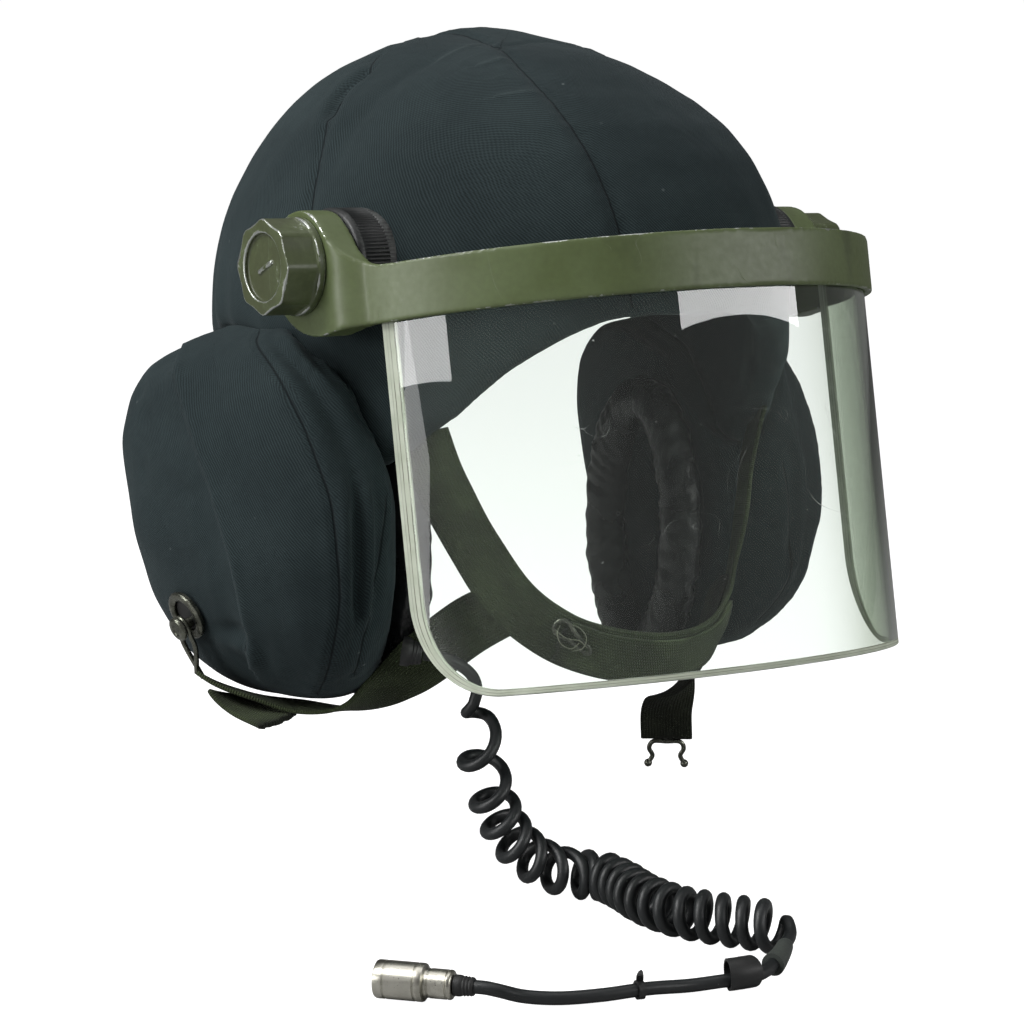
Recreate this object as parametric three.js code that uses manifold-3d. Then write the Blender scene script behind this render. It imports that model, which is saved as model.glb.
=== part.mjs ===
// Crew helmet: a padded cloth crown, two padded ear covers with ear cushions, a clear visor on a
// painted band that turns on two side pivots, a webbing chin strap and a curly lead with a plug.
// Lengths are in millimetres, +Z is up, the face looks along -Y and the wearer's right is -X.
// The pieces are measured from the visor's pivot axis. The whole is then moved, so that its
// origin is the place where the inside of the crown rests on the head.
import * as THREE from 'three';
import { mergeVertices } from 'three/addons/utils/BufferGeometryUtils.js';
import Module from 'manifold-3d';

const wasm = await Module();
wasm.setup();

// Driving dimensions
const gap = 0.35; // between touching pieces
const crownHalfWidth = 116;
const crownHalfLength = 140;
const crownTop = 101;
const crownTopY = 61;
const crownBaseY = 47;
const crownWall = 14;
const seamDepth = 1.6;
const gorePuff = 1.3;
const seamCross = { x: -22, y: 17 }; // where the four seams of the cover meet
const seamAngles = [-7.5, 84, 177, 262]; // from the front, towards the wearer's left
const cushionFaceX = -64; // the side of an ear cushion that meets the head
const coverInnerX = -84.4;
const coverRoundness = 2.6;
const lugReach = 31.5; // room for the visor's lug, as a radius from the pivot axis
const visorTilt = THREE.MathUtils.degToRad(9.36);
const bandRadius = 127;
const bandThickness = 3;
const bandCentreY = -2.2;
const bandTop = -5.1;
const bandBottom = -27.6;
const lugRadius = 22;
const lugOuterX = 131;
const lugInnerX = 118;
const studRadius = 6;
const shieldThickness = 3.4;
const shieldHalfAngle = 74.2;
const shieldTop = -9;
const shieldBottom = -174.5;
const shieldCorner = 38;
const knobFaceX = 148.5;
const knobRadius = 19;
const strapThickness = 2;
const strapWidth = 24;
const cordDiameter = 5;
const coilDiameter = 21;
const floorZ = -259; // where the lead lies
const plugRadius = 7;
const wireRadius = 1.1;

// Materials
const finish = (color, roughness, metalness = 0) =>
  new THREE.MeshStandardMaterial({ color, roughness, metalness });
const materials = {
  cloth: () => finish(0x1c2630, 0.95),
  vinyl: () => finish(0x0c0c0d, 0.35),
  paint: () => finish(0x4a5032, 0.5),
  clear: () => {
    const material = finish(0xdfe8e2, 0.05);
    material.transparent = true;
    material.opacity = 0.35;
    return material;
  },
  blackPlastic: () => finish(0x141414, 0.5),
  steel: () => finish(0x6d6656, 0.4, 0.9),
  nickel: () => finish(0xb9b3a4, 0.3, 1),
  webbing: () => finish(0x3a4229, 0.95),
  rubber: () => finish(0x121314, 0.6),
};

// The crown's outer form in rows from the top down: how far below the top, how much of the half
// width and half length the section reaches, and where its centre lies.
const crownRows = [
  { drop: 0, reach: 0, centreY: crownTopY },
  { drop: 3.2, reach: 0.15, centreY: 60 },
  { drop: 9, reach: 0.32, centreY: 58 },
  { drop: 17.5, reach: 0.48, centreY: 55 },
  { drop: 29, reach: 0.63, centreY: 51 },
  { drop: 43, reach: 0.755, centreY: 47 },
  { drop: 60, reach: 0.86, centreY: 45.5 },
  { drop: 79, reach: 0.94, centreY: 46 },
  { drop: 99, reach: 0.985, centreY: 46 },
  { drop: 120, reach: 1, centreY: crownBaseY },
  { drop: 150, reach: 0.995, centreY: crownBaseY },
  { drop: 190, reach: 0.97, centreY: crownBaseY },
];

// The crown's lower edge, by the angle from the front.
const rimRows = [
  { angle: 0, height: -20 },
  { angle: 20, height: -21 },
  { angle: 30, height: -29 },
  { angle: 38, height: -39 },
  { angle: 46, height: -52 },
  { angle: 54, height: -66 },
  { angle: 62, height: -80 },
  { angle: 70, height: -82 },
  { angle: 78, height: -62 },
  { angle: 90, height: -36 },
  { angle: 105, height: -30 },
  { angle: 120, height: -34 },
  { angle: 135, height: -50 },
  { angle: 150, height: -72 },
  { angle: 165, height: -84 },
  { angle: 180, height: -86 },
];

// The right ear cover in rows from the top down: how far out it stands, and its front and back.
const coverRows = [
  { z: -23, out: 118, front: 22, back: 78 },
  { z: -32, out: 134, front: 2, back: 97 },
  { z: -44, out: 147, front: -9, back: 118 },
  { z: -57, out: 153, front: -16, back: 127 },
  { z: -75, out: 157, front: -24, back: 127 },
  { z: -93, out: 158, front: -29, back: 124 },
  { z: -117, out: 158, front: -29, back: 117 },
  { z: -142, out: 152, front: -24, back: 110 },
  { z: -154, out: 147, front: -17, back: 104 },
  { z: -166, out: 140, front: -7, back: 98 },
  { z: -176, out: 130, front: 5, back: 84 },
  { z: -182, out: 119, front: 20, back: 72 },
];
const coverFlare = 0.1; // how much further out the cover stands for each millimetre to the back

// Ear cushion: an oval ring of round section.
const cushion = { centreY: 34, centreZ: -121, halfLength: 27, halfHeight: 57, tubeX: 10, tubeR: 11 };
const earHollow = { y: 34, z: -118, depth: 22, halfLength: 24, halfHeight: 40 };

// Each strap row has a place on the strap's middle line and the way that its outer face looks.
const chinStrapRows = [
  { x: -92, y: -26, z: -62, nx: -0.9, ny: -0.45, nz: 0 },
  { x: -82, y: -28, z: -88, nx: -0.9, ny: -0.45, nz: 0 },
  { x: -71, y: -36, z: -114, nx: -0.85, ny: -0.5, nz: -0.1 },
  { x: -58, y: -44, z: -136, nx: -0.75, ny: -0.6, nz: -0.25 },
  { x: -43, y: -55, z: -150, nx: -0.55, ny: -0.75, nz: -0.35 },
  { x: -24, y: -66, z: -157.5, nx: -0.3, ny: -0.88, nz: -0.4 },
  { x: 0, y: -71, z: -160, nx: 0, ny: -0.9, nz: -0.45 },
];
const rearStrapRightRows = [
  { x: -57, y: -37, z: -137.5, nx: -0.65, ny: -0.68, nz: -0.3 },
  { x: -66, y: -24, z: -147, nx: -0.87, ny: -0.45, nz: -0.2 },
  { x: -75, y: -11, z: -159, nx: -0.8, ny: -0.4, nz: -0.4 },
  { x: -84, y: 4, z: -173, nx: -0.55, ny: -0.35, nz: -0.75 },
  { x: -96, y: 18, z: -184, nx: -0.2, ny: -0.15, nz: -0.97 },
  { x: -113, y: 33, z: -184, nx: 0, ny: 0, nz: -1 },
  { x: -129, y: 45, z: -179.5, nx: -0.25, ny: 0, nz: -0.95 },
  { x: -138, y: 54, z: -175.5, nx: -0.45, ny: 0.1, nz: -0.85 },
  { x: -143, y: 60, z: -172, nx: -0.6, ny: 0.2, nz: -0.75 },
];
const rearStrapLeftRows = [
  { x: 48.6, y: -47.6, z: -143, nx: 0.65, ny: -0.68, nz: -0.3 },
  { x: 60, y: -31, z: -150, nx: 0.87, ny: -0.45, nz: -0.2 },
  { x: 72, y: -12, z: -166, nx: 0.8, ny: -0.6, nz: 0 },
  { x: 82, y: 8, z: -184, nx: 0.45, ny: -0.9, nz: 0 },
  { x: 88, y: 26, z: -197, nx: 0, ny: -1, nz: 0.1 },
  { x: 91.5, y: 37, z: -210, nx: -0.5, ny: -0.85, nz: 0 },
  { x: 94, y: 40, z: -225, nx: -0.65, ny: -0.75, nz: 0 },
];
// The free end doubles back under the right strap from its hook.
const strapTailRows = [
  { x: -139, y: 56, z: -175.8, nx: -0.5, ny: 0.2, nz: -0.8 },
  { x: -137.5, y: 49, z: -180, nx: -0.3, ny: 0.25, nz: -0.9 },
  { x: -134, y: 38, z: -184, nx: -0.1, ny: 0.28, nz: -0.94 },
  { x: -129, y: 23, z: -187, nx: 0.04, ny: 0.28, nz: -0.94 },
];

// Where the eyelet lies on the right ear cover, and the stud a little below its middle.
const eyeletPlace = { y: 57, z: -145 };
const studPlace = { y: 56.5, z: -148 };

// The lead leaves its gland, hangs as a stretched coil, lies on as a close one and runs back.
const glandMouth = [-84, -17, -158];
const coilLies = floorZ + coilDiameter / 2;
const tailLies = floorZ + cordDiameter / 2 + 0.1;
const plugLies = floorZ + plugRadius;
const leadRoute = [
  glandMouth,
  [-79, -21, -159],
  [-72, -24, -162],
  [-65, -25, -168],
  [-63, -25, -174],
  [-64, -24, -180],
];
const coilRoute = [
  [-64, -24, -181],
  [-64, -26, -192],
  [-62, -29, -208],
  [-60, -34, -222],
  [-57, -40, -233],
  [-52, -46, -241],
  [-45, -52, -246],
  [-37, -58, coilLies],
  [-31, -66, coilLies],
  [-33, -84, coilLies],
  [-39, -105, coilLies],
  [-40, -126, coilLies],
  [-35, -143, coilLies],
  [-29, -156, coilLies],
  [-25, -167, coilLies],
];
const tailRoute = [
  [-20, -167.9, -249.6],
  [-22.8, -171.4, -250.6],
  [-28.1, -175, -252],
  [-38.6, -182.5, -253.8],
  [-49.5, -188.4, tailLies + 1.4],
  [-58.7, -191.4, tailLies + 1.2],
  [-65.8, -191.2, tailLies + 1.3],
  [-72, -188.5, tailLies + 1],
  [-82.8, -183.6, tailLies + 0.2],
  [-99.2, -179, tailLies + 0.9],
  [-116, -173.5, tailLies + 0.3],
  [-130.5, -166.2, tailLies],
  [-141.5, -159.6, tailLies + 1.2],
  [-148.8, -156, plugLies - 0.8],
  [-152.2, -152.2, plugLies],
  [-154.6, -149, plugLies],
];

const helmet = new THREE.Group();
helmet.position.set(0, -crownTopY, crownWall - crownTop);

const vector = (list) => new THREE.Vector3(...list);
const mix = THREE.MathUtils.lerp;

function toSolid(geometry) {
  const bare = geometry.clone();
  bare.deleteAttribute('normal');
  bare.deleteAttribute('uv');
  const merged = mergeVertices(bare, 1e-4);
  return new wasm.Manifold(new wasm.Mesh({
    numProp: 3,
    vertProperties: new Float32Array(merged.attributes.position.array),
    triVerts: new Uint32Array(merged.index.array),
  }));
}

function toGeometry(solid) {
  const mesh = solid.getMesh();
  const geometry = new THREE.BufferGeometry();
  geometry.setAttribute('position', new THREE.BufferAttribute(new Float32Array(mesh.vertProperties), 3));
  geometry.setIndex(new THREE.BufferAttribute(new Uint32Array(mesh.triVerts), 1));
  return geometry;
}

// The same shape on the other side of the helmet.
function mirrored(geometry) {
  const other = geometry.clone();
  other.scale(-1, 1, 1);
  const index = other.index.array;
  for (let i = 0; i < index.length; i += 3) {
    [index[i + 1], index[i + 2]] = [index[i + 2], index[i + 1]];
  }
  return other;
}

function addPiece(name, geometry, material) {
  const mesh = new THREE.Mesh(geometry, material);
  mesh.name = name;
  helmet.add(mesh);
  return mesh;
}

function addPair(name, geometry, material, parent = helmet) {
  for (const [side, shape] of [['right', geometry], ['left', mirrored(geometry)]]) {
    const mesh = new THREE.Mesh(shape, material());
    mesh.name = `${name}_${side}`;
    parent.add(mesh);
  }
}

// A smooth value from a table whose rows stand at even steps.
function rowValue(rows, at, column) {
  const i = Math.min(Math.floor(at), rows.length - 2);
  const t = at - i;
  const row = (k) => rows[THREE.MathUtils.clamp(k, 0, rows.length - 1)][column];
  const before = i > 0 ? row(i - 1) : 2 * row(0) - row(1);
  const after = i + 2 < rows.length ? row(i + 2) : 2 * row(i + 1) - row(i);
  const a = (row(i + 1) - before) / 2;
  const b = (after - row(i)) / 2;
  const rise = row(i + 1) - row(i);
  return row(i) + a * t + (3 * rise - 2 * a - b) * t * t + (a + b - 2 * rise) * t * t * t;
}

// The place in a table, counted in rows, where a column that grows has a given value.
function rowWhere(rows, column, value) {
  let low = 0;
  let high = rows.length - 1;
  for (let step = 0; step < 40; step += 1) {
    const middle = (low + high) / 2;
    if (rowValue(rows, middle, column) < value) low = middle;
    else high = middle;
  }
  return (low + high) / 2;
}

// A closed solid through rings of points, with a fan to a tip over each end.
function ringSolid(rings, startTip, endTip) {
  const count = rings[0].length;
  const points = rings.flat();
  const faces = [];
  for (let r = 0; r + 1 < rings.length; r += 1) {
    for (let i = 0; i < count; i += 1) {
      const j = (i + 1) % count;
      const [a, b, c, d] = [r * count + i, r * count + j, (r + 1) * count + j, (r + 1) * count + i];
      faces.push(a, b, c, a, c, d);
    }
  }
  const middle = (ring) => ring.reduce((sum, p) => sum.add(p), new THREE.Vector3()).divideScalar(count);
  const tips = [startTip ?? middle(rings[0]), endTip ?? middle(rings.at(-1))];
  points.push(...tips);
  for (let i = 0; i < count; i += 1) {
    const j = (i + 1) % count;
    const last = (rings.length - 1) * count;
    faces.push(points.length - 2, j, i);
    faces.push(points.length - 1, last + i, last + j);
  }
  return facesOutward(points, faces);
}

// A closed solid whose last ring meets its first.
function loopSolid(rings) {
  const count = rings[0].length;
  const faces = [];
  for (let r = 0; r < rings.length; r += 1) {
    const next = (r + 1) % rings.length;
    for (let i = 0; i < count; i += 1) {
      const j = (i + 1) % count;
      const [a, b, c, d] = [r * count + i, r * count + j, next * count + j, next * count + i];
      faces.push(a, b, c, a, c, d);
    }
  }
  return facesOutward(rings.flat(), faces);
}

function facesOutward(points, faces) {
  let volume = 0;
  for (let i = 0; i < faces.length; i += 3) {
    const [a, b, c] = [points[faces[i]], points[faces[i + 1]], points[faces[i + 2]]];
    volume += a.dot(b.clone().cross(c));
  }
  if (volume < 0) faces.reverse();
  const geometry = new THREE.BufferGeometry();
  const places = points.flatMap((point) => point.toArray());
  geometry.setAttribute('position', new THREE.Float32BufferAttribute(places, 3));
  geometry.setIndex(faces);
  return geometry;
}

// A disc or rod along X between two places.
function rodAlongX(radius, fromX, toX, sides = 32, y = 0, z = 0) {
  const rod = new THREE.CylinderGeometry(radius, radius, Math.abs(toX - fromX), sides);
  rod.rotateZ(Math.PI / 2);
  rod.translate((fromX + toX) / 2, y, z);
  return toSolid(rod);
}

// Crown
function crownSection(height) {
  const at = rowWhere(crownRows, 'drop', crownTop - height);
  const reach = rowValue(crownRows, at, 'reach');
  return {
    halfWidth: crownHalfWidth * reach,
    halfLength: crownHalfLength * reach,
    centreY: rowValue(crownRows, at, 'centreY'),
  };
}

// Where the line from the seams' meeting point, at an angle from the front, leaves the section.
function crownAt(angle, height) {
  const { halfWidth, halfLength, centreY } = crownSection(height);
  const [dx, dy] = [Math.sin(angle), -Math.cos(angle)];
  const [px, py] = [seamCross.x / halfWidth, (seamCross.y - centreY) / halfLength];
  const [qx, qy] = [dx / halfWidth, dy / halfLength];
  const a = qx * qx + qy * qy;
  const b = px * qx + py * qy;
  const c = px * px + py * py - 1;
  const far = (-b + Math.sqrt(b * b - a * c)) / a;
  return new THREE.Vector3(seamCross.x + far * dx, seamCross.y + far * dy, height);
}

function crownHeight(x, y) {
  let low = -20;
  let high = crownTop - 0.01;
  for (let step = 0; step < 30; step += 1) {
    const middle = (low + high) / 2;
    const { halfWidth, halfLength, centreY } = crownSection(middle);
    if (Math.hypot(x / halfWidth, (y - centreY) / halfLength) < 1) low = middle;
    else high = middle;
  }
  return (low + high) / 2;
}

function crownOutward(point) {
  const bulge = 118;
  const level = -20;
  return new THREE.Vector3(
    point.x / crownHalfWidth ** 2,
    (point.y - crownBaseY) / crownHalfLength ** 2,
    Math.max(point.z - level, 0) / bulge ** 2,
  ).normalize();
}

function rimHeight(point) {
  const turn = Math.atan2(point.x / crownHalfWidth, -(point.y - crownBaseY) / crownHalfLength);
  const angle = Math.abs(THREE.MathUtils.radToDeg(turn));
  const next = rimRows.findIndex((row) => row.angle >= angle);
  const i = Math.max(next, 1);
  const share = (angle - rimRows[i - 1].angle) / (rimRows[i].angle - rimRows[i - 1].angle);
  return rowValue(rimRows, i - 1 + share, 'height');
}

// Columns of the crown: a fine one beside each seam and wider ones across each gore.
const goreSteps = [0, 0.05, 0.16, 0.3, 0.43, 0.57, 0.7, 0.84, 0.95];
const crownColumns = seamAngles.flatMap((start, i) => {
  const end = i + 1 < seamAngles.length ? seamAngles[i + 1] : 360 + seamAngles[0];
  return goreSteps.map((step) => ({
    angle: THREE.MathUtils.degToRad(mix(start, end, step)),
    relief: step === 0 ? -seamDepth : gorePuff * Math.sin(Math.PI * step) ** 0.6,
  }));
});

// The crown's skin moved out by an amount: rings from the seams' meeting point to the lower edge.
function crownRings(amount, withRelief, topLevels, lowSteps) {
  const moved = (point, column, fade) => {
    const relief = withRelief ? column.relief * fade : 0;
    return point.clone().addScaledVector(crownOutward(point), amount + relief);
  };
  const rings = [0.35, 0.7].map((share) => crownColumns.map((column) => {
    const edge = crownAt(column.angle, topLevels[0]);
    const [x, y] = [mix(seamCross.x, edge.x, share), mix(seamCross.y, edge.y, share)];
    return moved(new THREE.Vector3(x, y, crownHeight(x, y)), column, share);
  }));
  for (const level of topLevels) {
    rings.push(crownColumns.map((column) => moved(crownAt(column.angle, level), column, 1)));
  }
  for (let step = 1; step <= lowSteps; step += 1) {
    rings.push(crownColumns.map((column) => {
      const edge = rimHeight(crownAt(column.angle, topLevels.at(-1))) + 5;
      const point = crownAt(column.angle, mix(topLevels.at(-1), edge, step / lowSteps));
      return moved(point, column, 1 - 0.6 * step / lowSteps);
    }));
  }
  return rings;
}

function crownTip(amount) {
  const point = new THREE.Vector3(seamCross.x, seamCross.y, crownHeight(seamCross.x, seamCross.y));
  return point.addScaledVector(crownOutward(point), amount);
}

// The crown's wall, thicker by "grown" on every side where it is used to cut a neighbour.
function crownWallGeometry(grown = 0) {
  const outer = crownRings(grown, true, [82, 75, 66, 55, 42, 27], 5);
  const inner = crownRings(-crownWall - grown, false, [80, 60, 30], 2).reverse();
  const edge = (share, below) => outer.at(-1).map((point, i) => {
    const across = point.clone().lerp(inner[0][i], share);
    across.z = Math.min(across.z, point.z) - below - grown;
    return across;
  });
  const rings = [...outer, edge(0.14, 3.4), edge(0.5, 5), edge(0.86, 3.4), ...inner];
  return ringSolid(rings, crownTip(grown - seamDepth), crownTip(-crownWall - grown));
}

// The crown as a filled form, to cut what is laid against its outside.
function crownFilled(grown) {
  const rings = crownRings(grown, true, [82, 75, 66, 55, 42, 27], 5);
  rings.push(rings.at(-1).map((point) => point.clone().setZ(point.z - 5 - grown)));
  return toSolid(ringSolid(rings, crownTip(grown), new THREE.Vector3(0, crownBaseY, -40)));
}

// Ear cover
function coverRing(row, grown) {
  const inner = -coverInnerX - grown;
  const [outer, front, back] = [row.out + grown, row.front - grown, row.back + grown];
  const middleY = (front + back) / 2;
  const sides = 24;
  return Array.from({ length: sides }, (_, i) => {
    const turn = (i / sides) * 2 * Math.PI;
    const round = (value) => Math.sign(value) * Math.abs(value) ** (2 / coverRoundness);
    const fromMiddle = round(Math.sin(turn)) * (back - front) / 2;
    const outShare = (1 + round(Math.cos(turn))) / 2;
    const x = inner + outShare * (outer - inner + coverFlare * fromMiddle);
    return new THREE.Vector3(-x, middleY + fromMiddle, row.z);
  });
}

function coverForm(grown = 0) {
  const tipBelow = new THREE.Vector3(-101, 44, -184.5 - grown);
  const tipAbove = new THREE.Vector3(-101, 48, -20 + grown);
  return toSolid(ringSolid(coverRows.map((row) => coverRing(row, grown)), tipAbove, tipBelow));
}

function ellipsoid(x, y, z, rx, ry, rz, sides = 18) {
  const form = new THREE.SphereGeometry(1, sides, sides / 2);
  form.scale(rx, ry, rz);
  form.translate(x, y, z);
  return toSolid(form);
}

function earCover() {
  const { y, z, depth, halfLength, halfHeight } = earHollow;
  const hollow = ellipsoid(coverInnerX, y, z, depth, halfLength, halfHeight);
  return coverForm().subtract(rodAlongX(lugReach, -104, -170)).subtract(hollow);
}

function earCushion() {
  const steps = 24;
  const sides = 8;
  const rings = Array.from({ length: steps }, (_, i) => {
    const turn = (i / steps) * 2 * Math.PI;
    const [dy, dz] = [Math.sin(turn), Math.cos(turn)];
    const outward = new THREE.Vector3(0, dy / cushion.halfLength, dz / cushion.halfHeight).normalize();
    const middle = new THREE.Vector3(
      cushionFaceX - cushion.tubeX,
      cushion.centreY + cushion.halfLength * dy,
      cushion.centreZ + cushion.halfHeight * dz,
    );
    return Array.from({ length: sides }, (__, k) => {
      const a = (k / sides) * 2 * Math.PI;
      const point = middle.clone().addScaledVector(outward, cushion.tubeR * Math.cos(a));
      point.x += cushion.tubeX * Math.sin(a);
      return point;
    });
  });
  return toSolid(loopSolid(rings));
}

// Visor band: a plan outline and a side outline, cut into each other.
function visorBand() {
  const inner = bandRadius - bandThickness;
  const onArc = (radius, angle) => [radius * Math.sin(angle), bandCentreY - radius * Math.cos(angle)];
  const arcFor = (radius, y) => Math.acos((bandCentreY - y) / radius);
  const plan = [];
  const outerEnd = arcFor(bandRadius, -33);
  const innerEnd = arcFor(inner, -35.5);
  const steps = 26;
  plan.push([lugOuterX, 26], [lugOuterX, -20], [lugOuterX - 1.6, -26]);
  for (let i = 0; i <= steps; i += 1) plan.push(onArc(bandRadius, mix(outerEnd, -outerEnd, i / steps)));
  plan.push([-lugOuterX + 1.6, -26], [-lugOuterX, -20], [-lugOuterX, 26]);
  plan.push([-lugInnerX, 26], [-lugInnerX, -20]);
  for (let i = 0; i <= steps; i += 1) plan.push(onArc(inner, mix(-innerEnd, innerEnd, i / steps)));
  plan.push([lugInnerX, -20], [lugInnerX, 26]);
  const above = new THREE.ExtrudeGeometry(new THREE.Shape(plan.map(([x, y]) => new THREE.Vector2(x, y))), {
    depth: 80, bevelEnabled: false,
  });
  above.translate(0, 0, -40);

  // The side outline is drawn with Y across and Z up.
  const side = new THREE.Shape();
  side.moveTo(-140, bandBottom);
  side.lineTo(-36, bandBottom);
  side.bezierCurveTo(-20, bandBottom, -18, -29.3, -9, -29);
  side.bezierCurveTo(8, -28, lugRadius, -16, lugRadius, 0);
  side.absarc(0, 0, lugRadius, 0, THREE.MathUtils.degToRad(122), false);
  side.bezierCurveTo(-20, 13, -24, bandTop, -44, bandTop);
  side.lineTo(-140, bandTop);
  const across = new THREE.ExtrudeGeometry(side, { depth: 300, bevelEnabled: false, curveSegments: 7 });
  across.translate(0, 0, -150);
  across.applyMatrix4(new THREE.Matrix4().makeBasis(
    new THREE.Vector3(0, 1, 0), new THREE.Vector3(0, 0, 1), new THREE.Vector3(1, 0, 0),
  ));
  return toSolid(above).intersect(toSolid(across)).subtract(rodAlongX(studRadius + gap, -140, 140, 16));
}

// Visor shield: a clear sheet bent round the inside of the band, its lower corners rounded.
function visorShield() {
  const outer = bandRadius - bandThickness - gap;
  const inner = outer - shieldThickness;
  const half = THREE.MathUtils.degToRad(shieldHalfAngle);
  const cornerTurn = shieldCorner / outer;
  const angles = [];
  const cornerSteps = 7;
  for (let i = 0; i <= cornerSteps; i += 1) {
    angles.push(-half + cornerTurn * (1 - Math.cos((i / cornerSteps) * Math.PI / 2)));
  }
  const middleSteps = 22;
  const straightHalf = half - cornerTurn;
  for (let i = 1; i < middleSteps; i += 1) angles.push(mix(-straightHalf, straightHalf, i / middleSteps));
  for (let i = cornerSteps; i >= 0; i -= 1) {
    angles.push(half - cornerTurn * (1 - Math.cos((i / cornerSteps) * Math.PI / 2)));
  }
  const rings = angles.map((angle) => {
    const into = Math.max(0, shieldCorner - (half - Math.abs(angle)) * outer);
    const low = shieldBottom + shieldCorner - Math.sqrt(Math.max(0, shieldCorner ** 2 - into ** 2));
    const [dx, dy] = [Math.sin(angle), -Math.cos(angle)];
    const at = (radius, z) => new THREE.Vector3(radius * dx, bandCentreY + radius * dy, z);
    return [at(outer, shieldTop), at(outer, low), at(inner, low), at(inner, shieldTop)];
  });
  return ringSolid(rings);
}

// Knob: an eight-cornered prism with hollow sides on a round flange, its face sunk and marked.
function knob() {
  const cornerTurn = Math.PI / 4;
  const outline = [];
  for (let i = 0; i < 8; i += 1) {
    for (const [share, reach] of [[-0.09, 1], [0.09, 1], [0.28, 0.945], [0.5, 0.925], [0.72, 0.945]]) {
      const turn = (i + share) * cornerTurn;
      const radius = knobRadius * reach;
      outline.push(new THREE.Vector2(radius * Math.cos(turn), radius * Math.sin(turn)));
    }
  }
  const backX = lugOuterX + gap;
  const flange = 3;
  const prism = new THREE.ExtrudeGeometry(new THREE.Shape(outline), {
    depth: knobFaceX - backX - flange + 1, bevelEnabled: false,
  });
  prism.rotateY(-Math.PI / 2);
  prism.translate(-(backX + flange - 1), 0, 0);
  const mark = new THREE.BoxGeometry(1.4, 11, 1.7);
  mark.rotateX(THREE.MathUtils.degToRad(-25));
  mark.translate(-(knobFaceX - 1.6), 0, 0);
  return toSolid(prism)
    .add(rodAlongX(knobRadius + 0.6, -backX, -(backX + flange), 24))
    .subtract(rodAlongX(13.4, -(knobFaceX - 1.9), -(knobFaceX + 5), 24))
    .add(toSolid(mark))
    .subtract(rodAlongX(studRadius + gap, -(backX - 5), -(backX + 8), 16));
}

// Pivot disc: a thick black disc laid against the crown, with the stud that carries the lug.
function pivotDisc() {
  return rodAlongX(23, -95, -(lugInnerX - gap), 28)
    .add(rodAlongX(studRadius, -(lugInnerX - 1), -(lugOuterX + 8), 16));
}

// A flat strap along rows of places; its width lies square to the way that its face looks.
function strap(rows, { width = strapWidth, thickness = strapThickness, outward = 0 } = {}) {
  const stepsPerRow = 3;
  const path = new THREE.CatmullRomCurve3(rows.map((row) => new THREE.Vector3(row.x, row.y, row.z)));
  const looks = rows.map((row) => new THREE.Vector3(row.nx, row.ny, row.nz).normalize());
  const steps = (rows.length - 1) * stepsPerRow;
  const rings = Array.from({ length: steps + 1 }, (_, i) => {
    const at = i / steps;
    const row = Math.min(Math.floor(at * (rows.length - 1)), rows.length - 2);
    const look = looks[row].clone().lerp(looks[row + 1], at * (rows.length - 1) - row).normalize();
    const middle = path.getPoint(at).addScaledVector(look, outward);
    const wide = look.clone().cross(path.getTangent(at)).normalize().multiplyScalar(width / 2);
    const thick = path.getTangent(at).cross(wide).normalize().multiplyScalar(thickness / 2);
    return [[1, 1], [1, -1], [-1, -1], [-1, 1]].map(([w, t]) =>
      middle.clone().addScaledVector(wide, w).addScaledVector(thick, t));
  });
  return toSolid(ringSolid(rings));
}

// The rows of a strap that goes on to the other side of the helmet.
function bothSides(rows) {
  const others = rows.slice(0, -1).reverse().map((row) => ({ ...row, x: -row.x, nx: -row.nx }));
  return [...rows, ...others];
}

// The end of a strap: its place, the way it runs, and the way across it.
function strapEnd(rows) {
  const path = new THREE.CatmullRomCurve3(rows.map((row) => new THREE.Vector3(row.x, row.y, row.z)));
  const along = path.getTangent(1);
  const last = rows.at(-1);
  const across = new THREE.Vector3(last.nx, last.ny, last.nz).cross(along).normalize();
  return { place: path.getPoint(1), along, across };
}

// A round wire or cord along places, as an even-sided tube.
function tube(route, radius, sides, steps) {
  const path = new THREE.CatmullRomCurve3(route.map(vector), false, 'centripetal');
  const section = new THREE.Shape(Array.from({ length: sides }, (_, i) => {
    const turn = (i / sides) * 2 * Math.PI;
    return new THREE.Vector2(radius * Math.cos(turn), radius * Math.sin(turn));
  }));
  return new THREE.ExtrudeGeometry(section, { steps, extrudePath: path, bevelEnabled: false });
}

// A closed loop of wire through places.
function closedWire(places, radius, sides, steps) {
  const path = new THREE.CatmullRomCurve3(places, true);
  const frames = path.computeFrenetFrames(steps, true);
  const rings = Array.from({ length: steps }, (_, i) => Array.from({ length: sides }, (__, k) => {
    const turn = (k / sides) * 2 * Math.PI;
    return path.getPointAt(i / steps)
      .addScaledVector(frames.normals[i], radius * Math.cos(turn))
      .addScaledVector(frames.binormals[i], radius * Math.sin(turn));
  }));
  return loopSolid(rings);
}

// A turned piece from a profile of radius and height, set at a place to look along a way. The
// profile runs from axis to axis, or it is closed here into a ring.
function turned(profile, place, look, sides = 20) {
  const rows = profile[0][0] === 0 ? profile : [...profile, profile[0]];
  const line = rows.map(([radius, height]) => new THREE.Vector2(radius, height));
  const lathe = new THREE.LatheGeometry(line, sides);
  const up = new THREE.Vector3(0, 1, 0);
  lathe.applyQuaternion(new THREE.Quaternion().setFromUnitVectors(up, look.clone().normalize()));
  lathe.translate(...place.toArray());
  return toSolid(lathe);
}

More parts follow.
